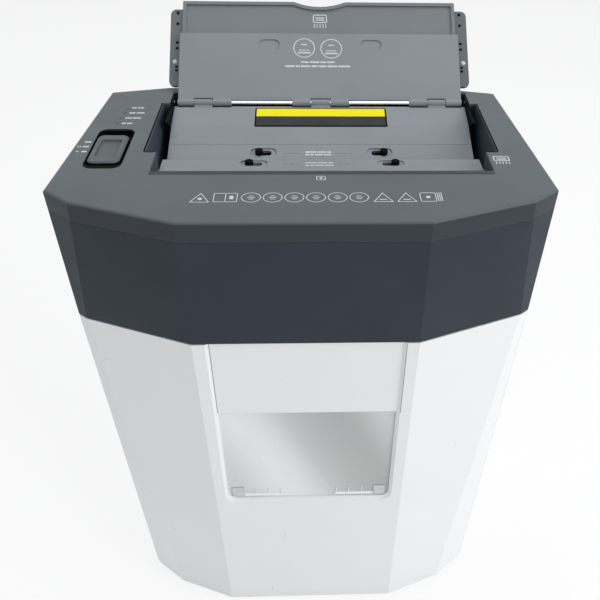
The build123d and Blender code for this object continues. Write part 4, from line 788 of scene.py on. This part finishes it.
def dress_latch(name, sheet, slot_u, v, side, hand):
    """Cap on the knob, black edge round its slot, and shield under the slot, which moves with the knob."""
    held = Sheet(sheet.origin, sheet.along, sheet.up, f"{name}_{hand}")
    lathed(f"{name}_cap_{hand}", held, (side * (slot_u + CAP_FROM_SLOT), v, CAP_LEVEL), LATCH_CAP, "black")
    edge = [soft_box(side * slot_u, v, *SLOT_EDGE, 2.2), bar_shape(side * slot_u, v, *SLOT_SIZE)]
    printed(f"{sheet.body}_slot_edge_{hand}", sheet, edge, "black", RECESS_FLOOR)
    shield = [soft_box(side * slot_u, v, *SLOT_EDGE, 1.0)]
    printed(f"{name}_shield_{hand}", held, shield, "black", SHIELD_LEVEL, SHIELD_HEIGHT)


for name, sheet, slot_u, v in (("latch_1", PANEL_1, 46.5, -9.5), ("latch_2", PANEL_2, 52.0, -4.6)):
    for side, hand in SIDES:
        dress_latch(name, sheet, slot_u, v, side, hand)


# ---------------------------------------------------------------- hinge of the lid
# Lid strips that close its notches over the ramp's knuckles and its edge over the bare rod: u, width.
KNUCKLE_STRIPS = ((-98.4, 15.6), (0.0, 16.8), (98.4, 15.6))
ROD_STRIPS = ((-49.5, 51.0), (49.5, 51.0))
for index, (u, width) in enumerate(KNUCKLE_STRIPS):
    block(f"lid_notch_strip_{index + 1}", LID, (u, 4.4, -0.34), (width, 1.8, 0.64), "tray_grey", 0.12)
for index, (u, width) in enumerate(ROD_STRIPS):
    block(f"lid_rod_strip_{index + 1}", LID, (u, 3.0, -0.4), (width, 2.4, 0.6), "tray_grey", 0.12)

# Black collars over the ends of the rod.
COLLAR = ((0, 0.0), (2.3, 0.0), (2.6, 0.3), (2.6, 1.9), (2.3, 2.2), (0, 2.2))
COLLAR_MID = 121.0
COLLAR_HALF = 1.1
for side, hand in SIDES:
    place = (0, 0, side * COLLAR_MID - COLLAR_HALF)
    lathed(f"rod_collar_{hand}", ACROSS_ROD, place, COLLAR, "black")


# ---------------------------------------------------------------- access panel 1 and the ramp
# Thin lips of the panel over the joints round it; the side lips widen towards the front.
LIP_HEIGHT = 0.12
LIP_INNER = 119.0
LIP_REAR = (120.6, 0.7)  # outer corner at the rear: u and v
LIP_FRONT = (122.5, -31.4)  # outer corner at the front
ROLLER_LIP_U = 30.0
ROLLER_LIP = (11.2, 3.0, 0.3)
block("panel_1_lip_rear", PANEL_1, (0.0, -0.1, LIP_HEIGHT / 2), (239.6, 1.7, LIP_HEIGHT), "tray_grey", 0.04)
for side, hand in SIDES:
    lip = [
        (side * LIP_INNER, LIP_REAR[1]), (side * LIP_REAR[0], LIP_REAR[1]),
        (side * LIP_FRONT[0], LIP_FRONT[1]), (side * LIP_INNER, LIP_FRONT[1]),
    ]
    printed(f"panel_1_lip_{hand}", PANEL_1, [lip], "tray_grey", height=LIP_HEIGHT)
    place = (side * ROLLER_LIP_U, -17.3, -0.16)
    block(f"roller_lip_{hand}", PANEL_1, place, ROLLER_LIP, "tray_grey", 0.05)

# Painted shadow under the lid's knuckles, as dark bars along the ramp's rear edge: u, width.
LID_KNUCKLES = ((-112.85, 13.3), (-82.8, 15.6), (-16.2, 15.6), (16.2, 15.6), (82.8, 15.6), (112.85, 13.3))
KNUCKLE_V = 25.3
printed("knuckle_painted_shadows", RAMP, [bar_shape(u, KNUCKLE_V, width, 1.0) for u, width in LID_KNUCKLES], "black")

# Black line round the two colour bands.
printed("band_line", RAMP, frame_shape(0.0, 11.35, 109.6, 24.6, 0.9, 1.25), "black")


# ---------------------------------------------------------------- edge of the mouth in the cover
MOUTH_FRONT = -41.8
MOUTH_HALF = 122.0
POCKET_HALF = 130.2
POCKET_FRONT = -12.0
POCKET_REAR = 76.0
POCKET_LINE = 1.3
POCKET_GAP = 0.1

# Painted shadow along the mouth's front edge, as a dark strip, and a soft bead along the front.
MOUTH_SHADOW_Y = MOUTH_FRONT - 1.3
MOUTH_SHADOW_WIDTH = 2.4
BEAD_MIDDLE = (TRAY_X, MOUTH_FRONT - 3.6, 0.1)
BEAD_SIZE = (2 * MOUTH_HALF, 2.2, 0.4)
# A dark strip painted as the shadow of the mouth's front edge.
printed("mouth_painted_shadow", TOP, [bar_shape(TRAY_X, MOUTH_SHADOW_Y, 2 * MOUTH_HALF, MOUTH_SHADOW_WIDTH)], "slate")
block("mouth_bead", TOP, BEAD_MIDDLE, BEAD_SIZE, "cover_with_painted_shade", 0.19)

# Black line along the front and the outer edge of each side pocket.
for side, hand in SIDES:
    inner = TRAY_X + side * (POCKET_HALF + POCKET_GAP)
    outer = TRAY_X + side * (POCKET_HALF + POCKET_GAP + POCKET_LINE)
    foot = TRAY_X + side * (MOUTH_HALF + 0.4)
    line = [
        (foot, POCKET_FRONT - 1.0), (outer - side * 1.8, POCKET_FRONT - 1.0), (outer, POCKET_FRONT + 0.8),
        (outer, POCKET_REAR), (inner, POCKET_REAR), (inner, POCKET_FRONT + 1.2),
        (inner - side * 1.3, POCKET_FRONT - 0.1), (foot, POCKET_FRONT - 0.1),
    ]
    printed(f"pocket_line_{hand}", TOP, [line], "black")


# ---------------------------------------------------------------- power switch
SWITCH = (-143.5, -4.8)
WELL_WIDTH = 27.0
WELL_LENGTH = 58.0
SHAFT_HOLE = (12.0, 28.0, 2.0)
BEZEL = (27.4, 64.0, 7.0)
SLIDER = (SWITCH[0], SWITCH[1] - 4.4)  # it rests in front of the middle of its well
SKIRT = (23.4, 44.4, 5.2)
LINING_WALL = 0.3
LINING_LEVEL = -4.9
LINING_HEIGHT = 4.8
FLOOR_LEVEL = -5.0
SKIRT_LEVEL = -4.5
SKIRT_HEIGHT = 5.0

lining = frame_shape(*SWITCH, WELL_WIDTH - 0.1, WELL_LENGTH - 0.1, 5.9, LINING_WALL)
printed("switch_lining", TOP, lining, "black", LINING_LEVEL, LINING_HEIGHT)
well_floor = [soft_box(*SWITCH, WELL_WIDTH - 0.4, WELL_LENGTH - 0.4, 5.6), soft_box(*SWITCH, *SHAFT_HOLE)]
printed("switch_floor", TOP, well_floor, "black", FLOOR_LEVEL)
bezel = [soft_box(SWITCH[0], SWITCH[1] - 1.1, *BEZEL), soft_box(*SWITCH, WELL_WIDTH, WELL_LENGTH, 6.0)]
printed("switch_bezel", TOP, bezel, "black")
skirt = frame_shape(*SLIDER, *SKIRT, LINING_WALL)
printed("slider_skirt", KNOB, skirt, "black", SKIRT_LEVEL, SKIRT_HEIGHT)


# ---------------------------------------------------------------- front of the bin
# Fine seams of the plain panel over the window: one on the recess floor, one on the face beside it.
SEAM_WIDTH = 0.7
SEAM_TOP = 351.0
SEAMS = (("panel_seam_left", -70.7, -1.8), ("panel_seam_right", 73.8, 0.0))  # name, u, level
for name, u, level in SEAMS:
    seam = bar_shape(u, (WINDOW_TOP + SEAM_TOP) / 2, SEAM_WIDTH, SEAM_TOP - WINDOW_TOP)
    printed(name, FRONT, [seam], "seam_grey", level)

# Catches of the pane, along the lower edge of the window.
SILL = (34.0, 3.6, 0.7)
CLIP = (10.8, 12.6, 0.9)
RIB = (0.9, 9.5, 0.9)
SILL_U = 40.0
CLIP_U = 62.4
RIB_PLACES = (24.4, 35.2, 46.8)
for side, hand in SIDES:
    block(f"pane_sill_{hand}", PANE, (side * SILL_U, WINDOW_BOTTOM + 3.4, 0.1), SILL, "pane_rib")
    block(f"pane_clip_{hand}", PANE, (side * CLIP_U, WINDOW_BOTTOM + 7.6, 0.2), CLIP, "pane_clip", 0.4)
    for index, u in enumerate(RIB_PLACES):
        block(f"pane_rib_{hand}_{index + 1}", PANE, (side * u, WINDOW_BOTTOM + 6.8, 0.1), RIB, "pane_rib")


# ---------------------------------------------------------------- back
SCREW = ((0, -0.3), (0.9, -0.3), (1.0, 0.45), (1.9, 0.45), (2.5, 0.05), (2.5, -0.4), (0, -0.4))
SCREW_LEVEL = -0.3
SCREW_PLACES = (
    (-118.0, 428.0), (118.0, 428.0), (-118.0, 362.0), (118.0, 362.0), (-112.0, 40.0), (112.0, 40.0),
)
for index, (u, v) in enumerate(SCREW_PLACES):
    lathed(f"back_screw_{index + 1}", BACK, (u, v, SCREW_LEVEL), SCREW, "steel")
